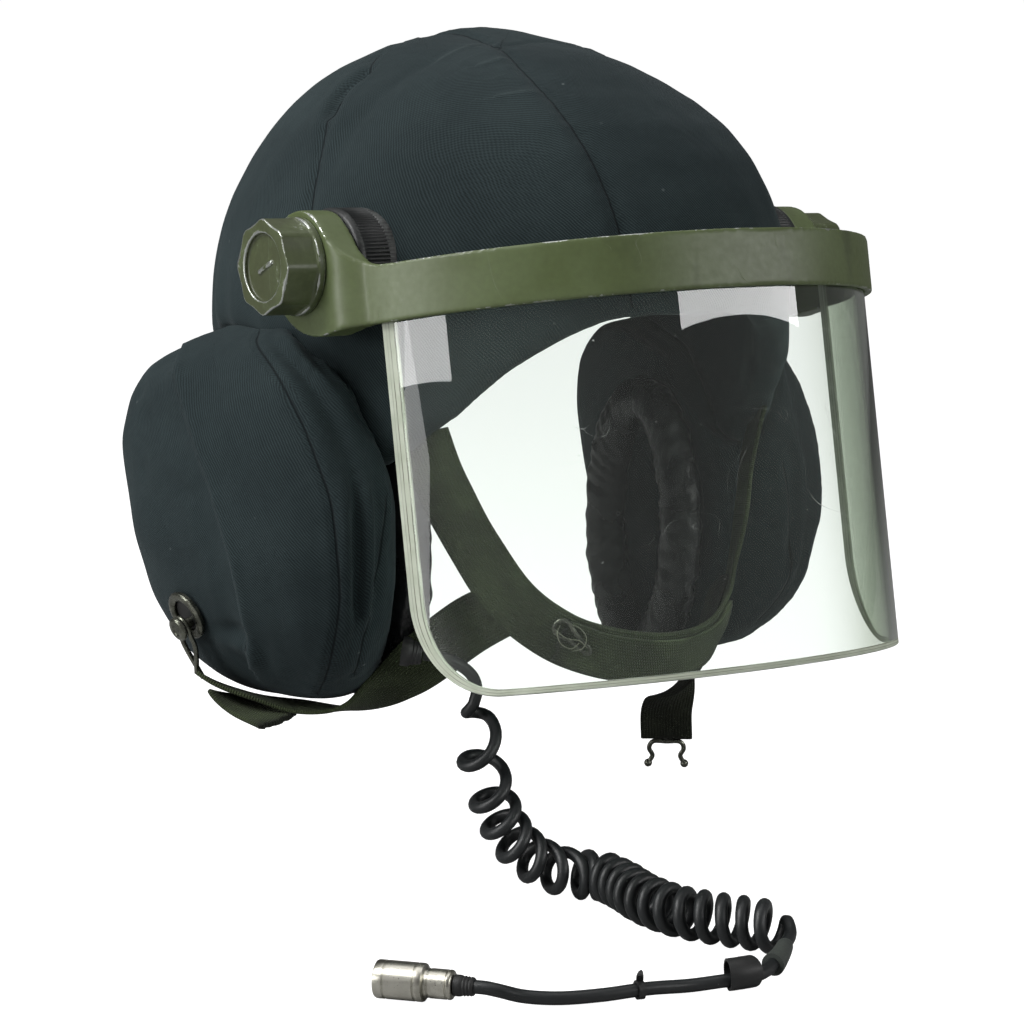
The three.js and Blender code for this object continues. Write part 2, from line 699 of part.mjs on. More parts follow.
// The ear cover's outside at a place seen from its side, with the way that it looks there.
function coverSurface(y, z) {
  const at = rowWhere(coverRows.map((row) => ({ ...row, down: -row.z })), 'down', -z);
  const [out, front, back] = ['out', 'front', 'back'].map((column) => rowValue(coverRows, at, column));
  const fromMiddle = y - (front + back) / 2;
  const share = Math.abs(fromMiddle / ((back - front) / 2)) ** coverRoundness;
  const outShare = (1 + (1 - share) ** (1 / coverRoundness)) / 2;
  return new THREE.Vector3(coverInnerX - outShare * (out + coverInnerX + coverFlare * fromMiddle), y, z);
}

function coverLook(y, z) {
  const reach = 4;
  const alongY = coverSurface(y + reach, z).sub(coverSurface(y - reach, z));
  const alongZ = coverSurface(y, z + reach).sub(coverSurface(y, z - reach));
  return alongZ.cross(alongY).normalize();
}

// Eyelet, stud and wire hook on the ear cover
const studFoot = coverSurface(studPlace.y, studPlace.z);
const studLook = coverLook(studPlace.y, studPlace.z);
if (studLook.x > 0) studLook.negate();
const grownCover = coverForm(gap);
const eyeletFoot = coverSurface(eyeletPlace.y, eyeletPlace.z);
const eyeletProfile = [[6.4, -3], [10.8, -3], [10.8, 0.6], [9.4, 1.7], [7.4, 1.7], [6.4, 0.8]];
const eyelet = turned(eyeletProfile, eyeletFoot, studLook, 16).subtract(grownCover);
const studProfile = [[0, -3], [2.2, -3], [2.2, 5], [5.2, 5], [5.2, 6.2], [4, 7.2], [0, 7.2]];
const stud = turned(studProfile, studFoot, studLook, 14).subtract(grownCover);

// A wire hook passes round the stud's shank and comes down to the end of a strap.
function hookedWire(end) {
  const down = new THREE.Vector3(0, 0, -1).projectOnPlane(studLook).normalize();
  const side = studLook.clone().cross(down);
  const around = studFoot.clone().addScaledVector(studLook, 3.6);
  const bend = 4;
  const leg = (sign, drop) => around.clone()
    .addScaledVector(side, sign * bend)
    .addScaledVector(down, drop);
  const overTop = [30, 60, 90, 120, 150].map((turn) => {
    const a = THREE.MathUtils.degToRad(turn);
    return around.clone()
      .addScaledVector(side, bend * Math.cos(a))
      .addScaledVector(down, -bend * Math.sin(a));
  });
  const foot = (sign) => end.place.clone().addScaledVector(end.along, gap + 0.8)
    .addScaledVector(end.across, sign * 6.5);
  const near = foot(1).distanceTo(leg(1, 8)) < foot(-1).distanceTo(leg(1, 8)) ? 1 : -1;
  const oneLeg = [foot(near), leg(1, 9), leg(1, 4), leg(1, 0)];
  const otherLeg = [leg(-1, 0), leg(-1, 4), leg(-1, 9), foot(-near)];
  return [...oneLeg, ...overTop, ...otherLeg];
}

// The same hook let go: two prongs stand on from the strap's end, with a small ball at each tip.
function looseWire(end) {
  const clear = wireRadius + gap + 0.2;
  const at = (across, along) => end.place.clone()
    .addScaledVector(end.across, across)
    .addScaledVector(end.along, along);
  const prong = [[8.5, 13], [6.5, 9], [8, 5.5], [7.6, 3.2], [6, clear]];
  const other = prong.map(([across, along]) => [-across, along]).reverse();
  return [...prong, [0, clear], ...other].map(([across, along]) => at(across, along));
}

function ball(place, radius) {
  return ellipsoid(...place.toArray(), radius, radius, radius, 8);
}

// Crown, ear covers and cushions. The covers give way where the crown and the straps press on them.
addPiece('crown_cover', crownWallGeometry(), materials.cloth());
const strapRoom = { width: strapWidth + 2 * gap, thickness: strapThickness + 2 * gap };
const crownRoom = crownFilled(gap)
  .add(toSolid(crownWallGeometry(gap)))
  .add(strap(rearStrapRightRows, strapRoom));
for (const [name, solid, material] of [
  ['ear_cover', earCover(), materials.cloth],
  ['pivot_disc', pivotDisc(), materials.blackPlastic],
]) {
  const leftSolid = toSolid(mirrored(toGeometry(solid)));
  addPiece(`${name}_right`, toGeometry(solid.subtract(crownRoom)), material());
  addPiece(`${name}_left`, toGeometry(leftSolid.subtract(crownRoom)), material());
}
addPair('ear_cushion', toGeometry(earCushion()), materials.vinyl);

// Visor and knobs, turned about the pivot axis as the visor stands
const visor = new THREE.Group();
visor.rotation.x = -visorTilt;
helmet.add(visor);
for (const [name, solid, material] of [
  ['visor_band', toGeometry(visorBand()), materials.paint()],
  ['visor_shield', visorShield(), materials.clear()],
]) {
  const mesh = new THREE.Mesh(solid, material);
  mesh.name = name;
  visor.add(mesh);
}
addPair('knob', toGeometry(knob()), materials.paint);

// Eyelets and studs
addPair('eyelet', toGeometry(eyelet), materials.steel);
addPair('hook_stud', toGeometry(stud), materials.steel);

// Chin hook: a small wire loop that leans against the outside of the chin strap
const chinHookPlace = new THREE.Vector3(-40.5, -60, -148);
const chinHookLook = new THREE.Vector3(-0.58, -0.73, -0.33).normalize();
const chinHookWay = new THREE.Vector3(0.62, -0.3, -0.62).projectOnPlane(chinHookLook).normalize();
const chinHookSide = chinHookLook.clone().cross(chinHookWay);
const chinHookRadius = 0.9;
const chinHookSteps = 20;
const chinHookRoute = [
  [-9, 0], [-8, 2.6], [-5.4, 3.6], [-2.6, 2.8], [1, 1.8], [5, 1.6], [8.6, 1.2],
  [9.4, 0], [8.6, -1.2], [5, -1.6], [1, -1.8], [-2.6, -2.8], [-5.4, -3.6], [-8, -2.6],
].map(([along, across]) => chinHookPlace.clone()
  .addScaledVector(chinHookLook, 3.2 + 0.13 * along)
  .addScaledVector(chinHookWay, along)
  .addScaledVector(chinHookSide, across));
addPiece('chin_hook', closedWire(chinHookRoute, chinHookRadius, 6, chinHookSteps), materials.steel());

// Straps
const chinRows = bothSides(chinStrapRows);
const grownChinStrap = strap(chinRows, strapRoom);
const grownCrown = toSolid(crownWallGeometry(gap));
addPiece('chin_strap', toGeometry(strap(chinRows).subtract(grownCrown)), materials.webbing());
const padRows = chinRows.slice(4, 9);
const padLift = strapThickness + gap + 0.1;
const chinPad = strap(padRows, { width: 20, outward: padLift })
  .subtract(grownChinStrap)
  .subtract(toSolid(closedWire(chinHookRoute, chinHookRadius + gap, 6, chinHookSteps)));
addPiece('chin_pad', toGeometry(chinPad), materials.webbing());
const rearStrapRight = strap(rearStrapRightRows).subtract(grownChinStrap).add(strap(strapTailRows));
addPiece('rear_strap_right', toGeometry(rearStrapRight), materials.webbing());
const rearStrapLeft = strap(rearStrapLeftRows).subtract(grownChinStrap);
addPiece('rear_strap_left', toGeometry(rearStrapLeft), materials.webbing());

// Wire hooks
const rightEnd = strapEnd(rearStrapRightRows);
const leftEnd = strapEnd(rearStrapLeftRows);
const rightWire = toSolid(tube(hookedWire(rightEnd).map((p) => p.toArray()), wireRadius, 6, 26));
addPiece('wire_hook_right', toGeometry(rightWire), materials.steel());
const leftWirePath = looseWire(leftEnd);
const leftWire = toSolid(tube(leftWirePath.map((p) => p.toArray()), wireRadius, 6, 24))
  .add(ball(leftWirePath[0], 1.9))
  .add(ball(leftWirePath.at(-1), 1.9));
addPiece('wire_hook_left', toGeometry(leftWire), materials.steel());

// Lead: gland, straight stretch, curly stretch as one fat tube, tail and plug
const glandWay = vector(leadRoute[1]).sub(vector(leadRoute[0])).normalize();
const glandProfile = [[0, -18], [6, -18], [6, -6], [4.2, -0.5], [0, -0.5]];
const gland = turned(glandProfile, vector(glandMouth), glandWay, 16)
  .subtract(grownCover)
  .subtract(toSolid(toGeometry(earCushion())));
addPiece('cord_gland', toGeometry(gland), materials.rubber());
addPiece('cord_lead', tube(leadRoute, cordDiameter / 2, 8, 6), materials.rubber());
addPiece('cord_coil', tube(coilRoute, coilDiameter / 2, 12, 22), materials.rubber());
addPiece('cord_tail', tube(tailRoute, cordDiameter / 2, 8, 20), materials.rubber());

// A rubber sleeve between two shares of the tail's length. The tail lies on the inside of a wide one.
function sleeve(from, to, { radius, wall, steps }) {
  const path = new THREE.CatmullRomCurve3(tailRoute.map(vector), false, 'centripetal');
  const innerRadius = radius - wall;
  const lift = innerRadius - cordDiameter / 2 - gap;
  const route = (first, last) => Array.from({ length: steps + 1 }, (_, i) => {
    const place = path.getPointAt(mix(first, last, i / steps));
    return [place.x, place.y, place.z + lift];
  });
  const sides = 10;
  const outside = toSolid(tube(route(from, to), radius, sides, steps));
  const inside = toSolid(tube(route(from - 0.02, to + 0.02), innerRadius, sides, steps + 2));
  return toGeometry(outside.subtract(inside));
}
addPiece('bend_sleeve', sleeve(0.08, 0.21, { radius: 4.4, wall: 1, steps: 3 }), materials.rubber());
addPiece('tail_sleeve', sleeve(0.31, 0.38, { radius: 6, wall: 0.9, steps: 2 }), materials.rubber());
addPiece('cord_tie', sleeve(0.59, 0.61, { radius: 3.9, wall: 0.9, steps: 1 }), materials.rubber());

const plugWay = new THREE.Vector3(-0.6, 0.8, 0);
const bootStart = vector(tailRoute.at(-1)).addScaledVector(plugWay, gap + 0.1);
const boot = turned([[0, 0], [3.9, 0], [3.9, 7], [0, 7]], bootStart, plugWay, 16);
addPiece('plug_boot', toGeometry(boot), materials.rubber());
const plugStart = bootStart.clone().addScaledVector(plugWay, 7 + gap);
const plugProfile = [
  [0, 0], [5.4, 0], [5.4, 10], [plugRadius - 0.4, 10.6], [plugRadius, 11], [plugRadius, 29],
  [5.6, 29], [5.6, 26], [0, 26],
];
addPiece('plug', toGeometry(turned(plugProfile, plugStart, plugWay, 20)), materials.nickel());

export default helmet;
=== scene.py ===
import math
import bpy
import bmesh
import numpy as np
from mathutils import Matrix, Vector
from mathutils.bvhtree import BVHTree


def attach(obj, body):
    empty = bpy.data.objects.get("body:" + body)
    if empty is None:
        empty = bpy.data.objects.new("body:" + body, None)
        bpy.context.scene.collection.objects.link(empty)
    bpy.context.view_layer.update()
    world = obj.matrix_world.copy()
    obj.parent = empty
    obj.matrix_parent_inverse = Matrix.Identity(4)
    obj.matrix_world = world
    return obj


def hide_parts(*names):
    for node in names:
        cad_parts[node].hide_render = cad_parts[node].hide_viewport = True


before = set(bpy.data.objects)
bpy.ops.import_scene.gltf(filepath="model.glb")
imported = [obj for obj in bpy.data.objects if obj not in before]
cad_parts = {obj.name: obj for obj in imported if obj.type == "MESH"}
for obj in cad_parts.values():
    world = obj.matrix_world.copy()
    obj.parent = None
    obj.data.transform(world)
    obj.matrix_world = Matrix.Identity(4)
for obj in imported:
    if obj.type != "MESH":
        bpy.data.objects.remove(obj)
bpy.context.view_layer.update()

# Padded crew helmet: a cloth crown and ear covers, a clear visor on a painted band, webbing straps
# and a curly lead. Sizes are in millimetres from the visor's pivot axis until fromPivot turns them
# into metres in the frame, whose origin is the seat inside the top of the crown.
seatPlace = np.array([0.0, 61.0, 87.0])
visorTilt = math.radians(9.36)
floorHeight = -259.0


def fromPivot(points):
    return (np.asarray(points, float) - seatPlace) / 1000


def toPivot(points):
    return np.asarray(points, float) * 1000 + seatPlace


# Camera, at the photograph's viewing angle
cameraPlace = {"x": -699.9, "y": -898.2, "z": 34.3, "pitch": 82.9, "yaw": -36.87, "lens": 94.0}
cameraData = bpy.data.cameras.new("camera")
cameraData.lens = cameraPlace["lens"]
cameraData.sensor_width = 36.0
cameraData.clip_end = 50.0
camera = bpy.data.objects.new("camera", cameraData)
camera.location = fromPivot([cameraPlace["x"], cameraPlace["y"], cameraPlace["z"]])
camera.rotation_euler = (math.radians(cameraPlace["pitch"]), 0, math.radians(cameraPlace["yaw"]))
bpy.context.scene.collection.objects.link(camera)
bpy.context.scene.camera = camera


# Making and placing meshes
def addObject(name, data, body="root"):
    piece = bpy.data.objects.new(name, data)
    bpy.context.scene.collection.objects.link(piece)
    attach(piece, body)
    return piece


def meshFrom(name, points, faces, smooth=True):
    mesh = bpy.data.meshes.new(name)
    mesh.from_pydata([tuple(p) for p in points], [], [tuple(f) for f in faces])
    mesh.update()
    if smooth:
        mesh.shade_smooth()
    return mesh


def pointsOf(mesh):
    flat = np.empty(len(mesh.vertices) * 3, np.float32)
    mesh.vertices.foreach_get("co", flat)
    return flat.reshape(-1, 3).astype(float)


def setPoints(mesh, points):
    mesh.vertices.foreach_set("co", np.asarray(points, np.float32).ravel())
    mesh.update()


def normalsOf(mesh):
    flat = np.empty(len(mesh.vertices) * 3, np.float32)
    mesh.vertex_normals.foreach_get("vector", flat)
    return flat.reshape(-1, 3).astype(float)


# A copy of a mesh with these modifiers applied, each a type and its settings
def withModifiers(mesh, modifiers):
    carrier = bpy.data.objects.new("carrier", mesh)
    bpy.context.scene.collection.objects.link(carrier)
    for kind, settings in modifiers:
        modifier = carrier.modifiers.new(kind.lower(), kind)
        for key, value in settings.items():
            setattr(modifier, key, value)
    result = bpy.data.meshes.new_from_object(carrier.evaluated_get(bpy.context.evaluated_depsgraph_get()))
    bpy.data.objects.remove(carrier)
    return result


# A smooth line through places, as the CAD routes run. Columns after the third are carried along.
def smoothLine(rows, perSpan=12):
    rows = np.asarray(rows, float)
    places = np.vstack([2 * rows[0] - rows[1], rows, 2 * rows[-1] - rows[-2]])
    line = []
    for i in range(len(rows) - 1):
        four = places[i:i + 4]
        spans = np.linalg.norm(np.diff(four[:, :3], axis=0), axis=1) ** 0.5
        t0, t1, t2, t3 = np.concatenate([[0], np.cumsum(spans)])
        last = i == len(rows) - 2
        for t in np.linspace(t1, t2, perSpan + 1)[:None if last else -1]:
            a1 = ((t1 - t) * four[0] + (t - t0) * four[1]) / (t1 - t0)
            a2 = ((t2 - t) * four[1] + (t - t1) * four[2]) / (t2 - t1)
            a3 = ((t3 - t) * four[2] + (t - t2) * four[3]) / (t3 - t2)
            b1 = ((t2 - t) * a1 + (t - t0) * a2) / (t2 - t0)
            b2 = ((t3 - t) * a2 + (t - t1) * a3) / (t3 - t1)
            line.append(((t2 - t) * b1 + (t - t1) * b2) / (t2 - t1))
    return np.array(line)


def lengthsAlong(line):
    steps = np.linalg.norm(np.diff(line[:, :3], axis=0), axis=1)
    return np.concatenate([[0], np.cumsum(steps)])


def evenLine(line, step):
    along = lengthsAlong(line)
    count = max(2, int(round(along[-1] / step)) + 1)
    at = np.linspace(0, along[-1], count)
    return np.stack([np.interp(at, along, line[:, k]) for k in range(line.shape[1])], axis=1)


def unit(vectors):
    vectors = np.asarray(vectors, float)
    return vectors / np.maximum(np.linalg.norm(vectors, axis=-1, keepdims=True), 1e-9)


# Two directions across a line that turn as little as they can on the way
def framesAlong(line, firstSide):
    tangents = unit(np.gradient(line[:, :3], axis=0))
    side = np.asarray(firstSide, float)
    sides = []
    for tangent in tangents:
        side = side - tangent * side.dot(tangent)
        side = side / np.linalg.norm(side)
        sides.append(side.copy())
    sides = np.array(sides)
    return tangents, sides, np.cross(tangents, sides)


# The lead: one curve through the straight stretch, the curly stretch and the tail
lead = {
    "diameter": 5.0, "turnRadius": 8.0, "widePitch": 20.0, "openPitch": 10.0, "wideUntil": 88.0,
    "pitch": 8.5, "pointsPerTurn": 28, "endPhase": 0.0, "openLean": 5.4, "lean": 1.2,
    "leanTo": (-0.6, -0.8, 0.0),
}
coilLies = floorHeight + 10.5
tailLies = floorHeight + 2.6
plugLies = floorHeight + 7
leadRoute = [
    [-84, -17, -158], [-79, -21, -159], [-72, -24, -162], [-65, -25, -168], [-63, -25, -174],
    [-64, -24, -180],
]
coilRoute = [
    [-64, -24, -181], [-64, -26, -192], [-62, -29, -208], [-60, -34, -222], [-57, -40, -233],
    [-52, -46, -241], [-45, -52, -246], [-37, -58, coilLies], [-31, -66, coilLies],
    [-33, -84, coilLies], [-39, -105, coilLies], [-40, -126, coilLies], [-35, -143, coilLies],
    [-29, -156, coilLies], [-25, -167, coilLies],
]
tailRoute = [
    [-20, -167.9, -249.6], [-22.8, -171.4, -250.6], [-28.1, -175, -252], [-38.6, -182.5, -253.8],
    [-49.5, -188.4, tailLies + 1.4], [-58.7, -191.4, tailLies + 1.2], [-65.8, -191.2, tailLies + 1.3],
    [-72, -188.5, tailLies + 1], [-82.8, -183.6, tailLies + 0.2], [-99.2, -179, tailLies + 0.9],
    [-116, -173.5, tailLies + 0.3], [-130.5, -166.2, tailLies], [-141.5, -159.6, tailLies + 1.2],
    [-148.8, -156, plugLies - 0.8], [-152.2, -152.2, plugLies], [-154.6, -149, plugLies],
]
tailLine = evenLine(smoothLine(tailRoute), 1.5)


def joinedBy(first, firstWay, last, lastWay, reach, count):
    t = np.linspace(0, 1, count + 2)[1:-1, None]
    a, b = np.asarray(first, float), np.asarray(last, float)
    u, w = unit(firstWay) * reach, unit(lastWay) * reach
    return ((2 * t**3 - 3 * t**2 + 1) * a + (t**3 - 2 * t**2 + t) * u
            + (3 * t**2 - 2 * t**3) * b + (t**3 - t**2) * w)


def curlyLine():
    middle = evenLine(smoothLine(coilRoute), 0.25)
    along = lengthsAlong(middle)
    whole = along[-1]
    pitches = [lead["widePitch"]] * 2 + [lead["openPitch"]] * 2 + [lead["pitch"]]
    pitch = np.interp(along, [0, 26, 44, lead["wideUntil"], lead["wideUntil"] + 12], pitches)
    turns = np.concatenate([[0], np.cumsum(np.diff(along) / pitch[1:])])
    # The last turn comes over the top and ends on the right, going down.
    tangents, sides, ups = framesAlong(middle, [1, 0, 0])
    endRight = unit(np.cross([0, 0, -1], middle[-1] - middle[-2]))
    endAngle = math.atan2(ups[-1].dot(-endRight), sides[-1].dot(-endRight)) + lead["endPhase"]
    phase = endAngle + 2 * math.pi * (turns - turns[-1])
    radius = lead["turnRadius"] * np.clip(turns / 0.4, 0, 1) ** 0.8
    count = int(turns[-1] * lead["pointsPerTurn"])
    at = np.interp(np.linspace(0, turns[-1], count), turns, np.arange(len(turns)))
    pick = lambda values: np.stack([np.interp(at, np.arange(len(turns)), v) for v in values.T], axis=1)
    phases = np.interp(at, np.arange(len(turns)), phase)
    radii = np.interp(at, np.arange(len(turns)), radius)
    rings = pick(sides) * np.cos(phases)[:, None] + pick(ups) * np.sin(phases)[:, None]
    # Stretched turns lean over: their near side hangs lower than their far side.
    places = np.interp(at, np.arange(len(turns)), along)
    lean = np.interp(places, [0, 9, lead["wideUntil"], lead["wideUntil"] + 25],
                     [0, lead["openLean"], lead["openLean"], lead["lean"]])
    shift = lean * (rings @ np.array(lead["leanTo"]))
    print("lead:", round(float(turns[-1]), 1), "turns over", round(float(whole)), "mm")
    return pick(middle) + rings * radii[:, None] + pick(tangents) * shift[:, None]


def leadLine():
    straight = evenLine(smoothLine(leadRoute), 1.5)
    curly = curlyLine()
    rest = tailLine[3:]
    join = joinedBy(curly[-1], curly[-1] - curly[-2], rest[0], rest[1] - rest[0], 9, 6)
    line = np.vstack([straight, curly[3:], join, rest])
    # Points that all but meet would make a kink.
    kept = [0]
    for i in range(1, len(line)):
        if np.linalg.norm(line[i] - line[kept[-1]]) > 0.6:
            kept.append(i)
    return line[kept]


# A round curve through places; the radius is in millimetres
def roundCurve(name, line, radius, resolution, closed=False):
    curve = bpy.data.curves.new(name, "CURVE")
    curve.dimensions = "3D"
    curve.bevel_depth = 1.0    # times each point's own radius, in metres
    curve.bevel_resolution = resolution
    curve.use_fill_caps = True
    spline = curve.splines.new("POLY")
    spline.points.add(len(line) - 1)
    places = np.hstack([fromPivot(line), np.ones((len(line), 1))])
    spline.points.foreach_set("co", places.astype(np.float32).ravel())
    spline.points.foreach_set("radius", [radius / 1000] * len(line))
    spline.use_cyclic_u = closed
    spline.use_smooth = True
    return curve


leadPoints = leadLine()
leadCurve = roundCurve("leadCurve", leadPoints, lead["diameter"] / 2, 5)
leadCord = addObject("curly_lead", leadCurve)
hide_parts("cord_lead", "cord_coil", "cord_tail")



# Copies of CAD meshes, worked finer
def cadMesh(node):
    return bpy.data.objects[node].data.copy()


def remeshed(mesh, voxel, smoothing=4):
    steps = [("REMESH", {"mode": "VOXEL", "voxel_size": voxel / 1000, "use_smooth_shade": True})]
    if smoothing:
        steps.append(("SMOOTH", {"factor": 0.5, "iterations": smoothing}))
    result = withModifiers(mesh, steps)
    result.shade_smooth()
    return result


# Signed distances, in millimetres, from points on a skin to a line laid on that skin
def seamDistance(places, normals, line):
    starts = line[:-1]
    ways = np.diff(line, axis=0)
    lengths = np.maximum((ways ** 2).sum(1), 1e-9)
    best = np.full(len(places), 1e9)
    side = np.ones(len(places))
    for start, way, length in zip(starts, ways, lengths):
        share = np.clip(((places - start) @ way) / length, 0, 1)
        off = places - start - share[:, None] * way
        distance = np.linalg.norm(off, axis=1)
        nearer = distance < best
        best[nearer] = distance[nearer]
        across = np.cross(way, normals[nearer])
        side[nearer] = np.sign((across * off[nearer]).sum(1)) + (distance[nearer] == 0)
    return best * side


def laidOn(mesh, rows, step=2.5):
    tree = BVHTree.FromPolygons([v.co for v in mesh.vertices], [p.vertices for p in mesh.polygons])
    line = fromPivot(evenLine(smoothLine(rows), step))
    return toPivot([tree.find_nearest(Vector(p))[0] for p in line])


def setAttribute(mesh, name, values):
    attribute = mesh.attributes.new(name, "FLOAT", "POINT")
    attribute.data.foreach_set("value", np.asarray(values, np.float32))


# Soft unevenness from a few seeded waves: a value per place with a spread of about one
def waves(places, size, seed, count=10):
    chance = np.random.default_rng(seed)
    ways = unit(chance.normal(size=(count, 3)))
    lengths = size * chance.uniform(0.7, 1.5, count)
    starts = chance.uniform(0, 2 * math.pi, count)
    return np.sin(places @ ways.T * (2 * math.pi / lengths) + starts).sum(1) / math.sqrt(count / 2)


def nearest(distances):
    distances = np.array(distances)
    pick = np.abs(distances).argmin(0)
    return distances[pick, np.arange(distances.shape[1])]


# Air pressure inside padded fabric: the skin swells between the places where it is held
def swollen(mesh, held, pressure=4.0, cap=6.0, frames=20):
    scene = bpy.context.scene
    body = bpy.data.objects.new("swelling", mesh)
    scene.collection.objects.link(body)
    group = body.vertex_groups.new(name="held")
    for level in np.unique(np.round(held, 1)):
        if level > 0:
            members = np.nonzero(np.round(held, 1) == level)[0].tolist()
            group.add(members, float(level), "REPLACE")
    cloth = body.modifiers.new("cloth", "CLOTH")
    cloth.settings.quality = 5
    cloth.settings.mass = 0.3
    cloth.settings.tension_stiffness = 15
    cloth.settings.compression_stiffness = 8
    cloth.settings.bending_stiffness = 0.6
    cloth.settings.use_pressure = True
    cloth.settings.uniform_pressure_force = pressure
    cloth.settings.vertex_group_mass = "held"
    cloth.settings.effector_weights.gravity = 0
    cloth.collision_settings.use_collision = False
    cloth.point_cache.frame_start = 1
    cloth.point_cache.frame_end = frames
    before = pointsOf(mesh)
    for frameNumber in range(1, frames + 1):
        scene.frame_set(frameNumber)
    result = bpy.data.meshes.new_from_object(body.evaluated_get(bpy.context.evaluated_depsgraph_get()))
    bpy.data.objects.remove(body)
    scene.frame_set(1)
    after = pointsOf(result)
    move = after - before
    reach = np.linalg.norm(move, axis=1)
    limit = cap / 1000
    move *= (limit * np.tanh(reach / limit) / np.maximum(reach, 1e-9))[:, None]
    setPoints(result, before + move)
    print("swelling: up to", round(float(reach.max()) * 1000, 1), "mm, held to", cap)
    return result


# Crown: cloth drawn over the shell, four seams, a few creases near the top
crown = {
    "voxel": 2.5, "smoothing": 16, "seamDepth": 1.3, "seamWidth": 3.2, "puff": 0.9, "puffWidth": 26,
    "unevenness": 0.35, "waveSize": 55,
}
crownSeams = [
    [[-22, 17, 89], [-28, -2, 84], [-32, -16, 78.5], [-35.8, -45, 61.6], [-35.6, -70, 36],
     [-35, -82, 15], [-34, -88, -8], [-33, -92, -24]],
    [[-109, 27, -16], [-109.5, 28, 4], [-108.3, 29, 21.7], [-99.3, 36.8, 42.8], [-87.2, 46, 59.4],
     [-76.4, 51.8, 70.4], [-63.8, 51, 79.8], [-49, 65, 87.4], [-30, 74, 95], [-20, 76, 98]],
    [[-22, 17, 89], [-18, 38, 94], [-20, 76, 98], [-16, 120, 85], [-12, 155, 55], [-8, 176, 20],
     [-6, 184, -20], [-5, 184, -60]],
    [[-22, 17, 89], [-2, 18, 92], [30, 22, 88], [62, 26, 76], [90, 29, 52], [104, 30, 24],
     [110, 30, -10]],
]
crownCreases = [
    [[-49.4, 18.8, 82.4], [-36, 21, 87], [-21.4, 22.6, 90.4]],
    [[-43.3, -0.9, 80.7], [-37, -2, 82.4], [-31.8, -2.6, 83.8]],
    [[-50.7, -24.6, 67.8], [-44, -28, 68.8], [-38.3, -31.6, 69]],
]
crownTucks = [[[-84, 47.5, 62.6], [-76.4, 51.8, 70.4], [-66, 51, 78.5]]]


def groove(distances, width):
    return np.exp(-(distances / width) ** 2)


def makeCrown():
    mesh = remeshed(cadMesh("crown_cover"), crown["voxel"], crown["smoothing"])
    places = toPivot(pointsOf(mesh))
    normals = normalsOf(mesh)
    outward = unit(places - np.array([0.0, 47.0, -40.0]))
    outer = np.clip((normals * outward).sum(1) * 2, 0, 1)
    seams = nearest([seamDistance(places, normals, laidOn(mesh, rows)) for rows in crownSeams])
    creases = nearest([seamDistance(places, normals, laidOn(mesh, rows)) for rows in crownCreases])
    tucks = nearest([seamDistance(places, normals, laidOn(mesh, rows)) for rows in crownTucks])
    move = crown["puff"] * (1 - groove(seams, crown["puffWidth"]))
    move -= crown["seamDepth"] * groove(seams, crown["seamWidth"])
    move += 0.5 * groove(seams - 5, 4)
    move -= 2.2 * groove(tucks, 3.5)
    move += 0.9 * groove(tucks + 7, 5)
    move += 0.5 * groove(creases, 1.8)
    move += crown["unevenness"] * waves(places, crown["waveSize"], 3)
    puckers = np.sin(waves(places, 16, 8) * 3) * groove(seams, 9)
    move += 0.16 * puckers
    # Wrinkles gather where the cloth turns under at the rim
    low = np.clip((20 - places[:, 2]) / 60, 0, 1)
    move += 0.5 * low * waves(places * [1, 1, 0.25], 22, 5)
    setPoints(mesh, fromPivot(places + normals * (move * outer)[:, None]))
    setAttribute(mesh, "seam", np.where(outer > 0, seams, 50.0))
    setAttribute(mesh, "crease", np.where(outer > 0, creases, 50.0))
    return mesh


crownPiece = addObject("crown_cloth", makeCrown())
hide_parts("crown_cover")
print("crown:", len(crownPiece.data.polygons), "faces")


# Ear covers: pressure swells each panel between its seams, then folds and stitching go on
cover = {
    "voxel": 4.5, "smoothing": 6, "shrink": 1.6, "pressure": 4.0, "cap": 5.0, "frames": 20,
    "seamDepth": 1.2, "seamWidth": 1.8,
}
coverSeams = [
    [[-141, 84, -34], [-145.3, 77.3, -41.4], [-151, 65, -52], [-154, 54.5, -61.5], [-155.8, 37.5, -82.5],
     [-155.4, 27.5, -99.9], [-154.7, 20.6, -117.5], [-150.2, 19.9, -136.1], [-145.3, 23, -151.3],
     [-141, 27.5, -160]],
    [[-124, 44, -27], [-130, 36, -30.8], [-135.8, 11.6, -42.2], [-136.1, -7.1, -60.1],
     [-134.9, -18, -77.1], [-132.9, -23.5, -90.5], [-131.3, -25.7, -110.2], [-128.7, -23.6, -130.6],
     [-126.7, -15.8, -149.9], [-121.6, -1.1, -167.7], [-117, 12, -175]],
    [[-107, -25.5, -92], [-109, -27.5, -105], [-110, -27.8, -115.8], [-112.9, -25.5, -131.8],
     [-114.6, -20, -148.5], [-110, -6, -166]],
]
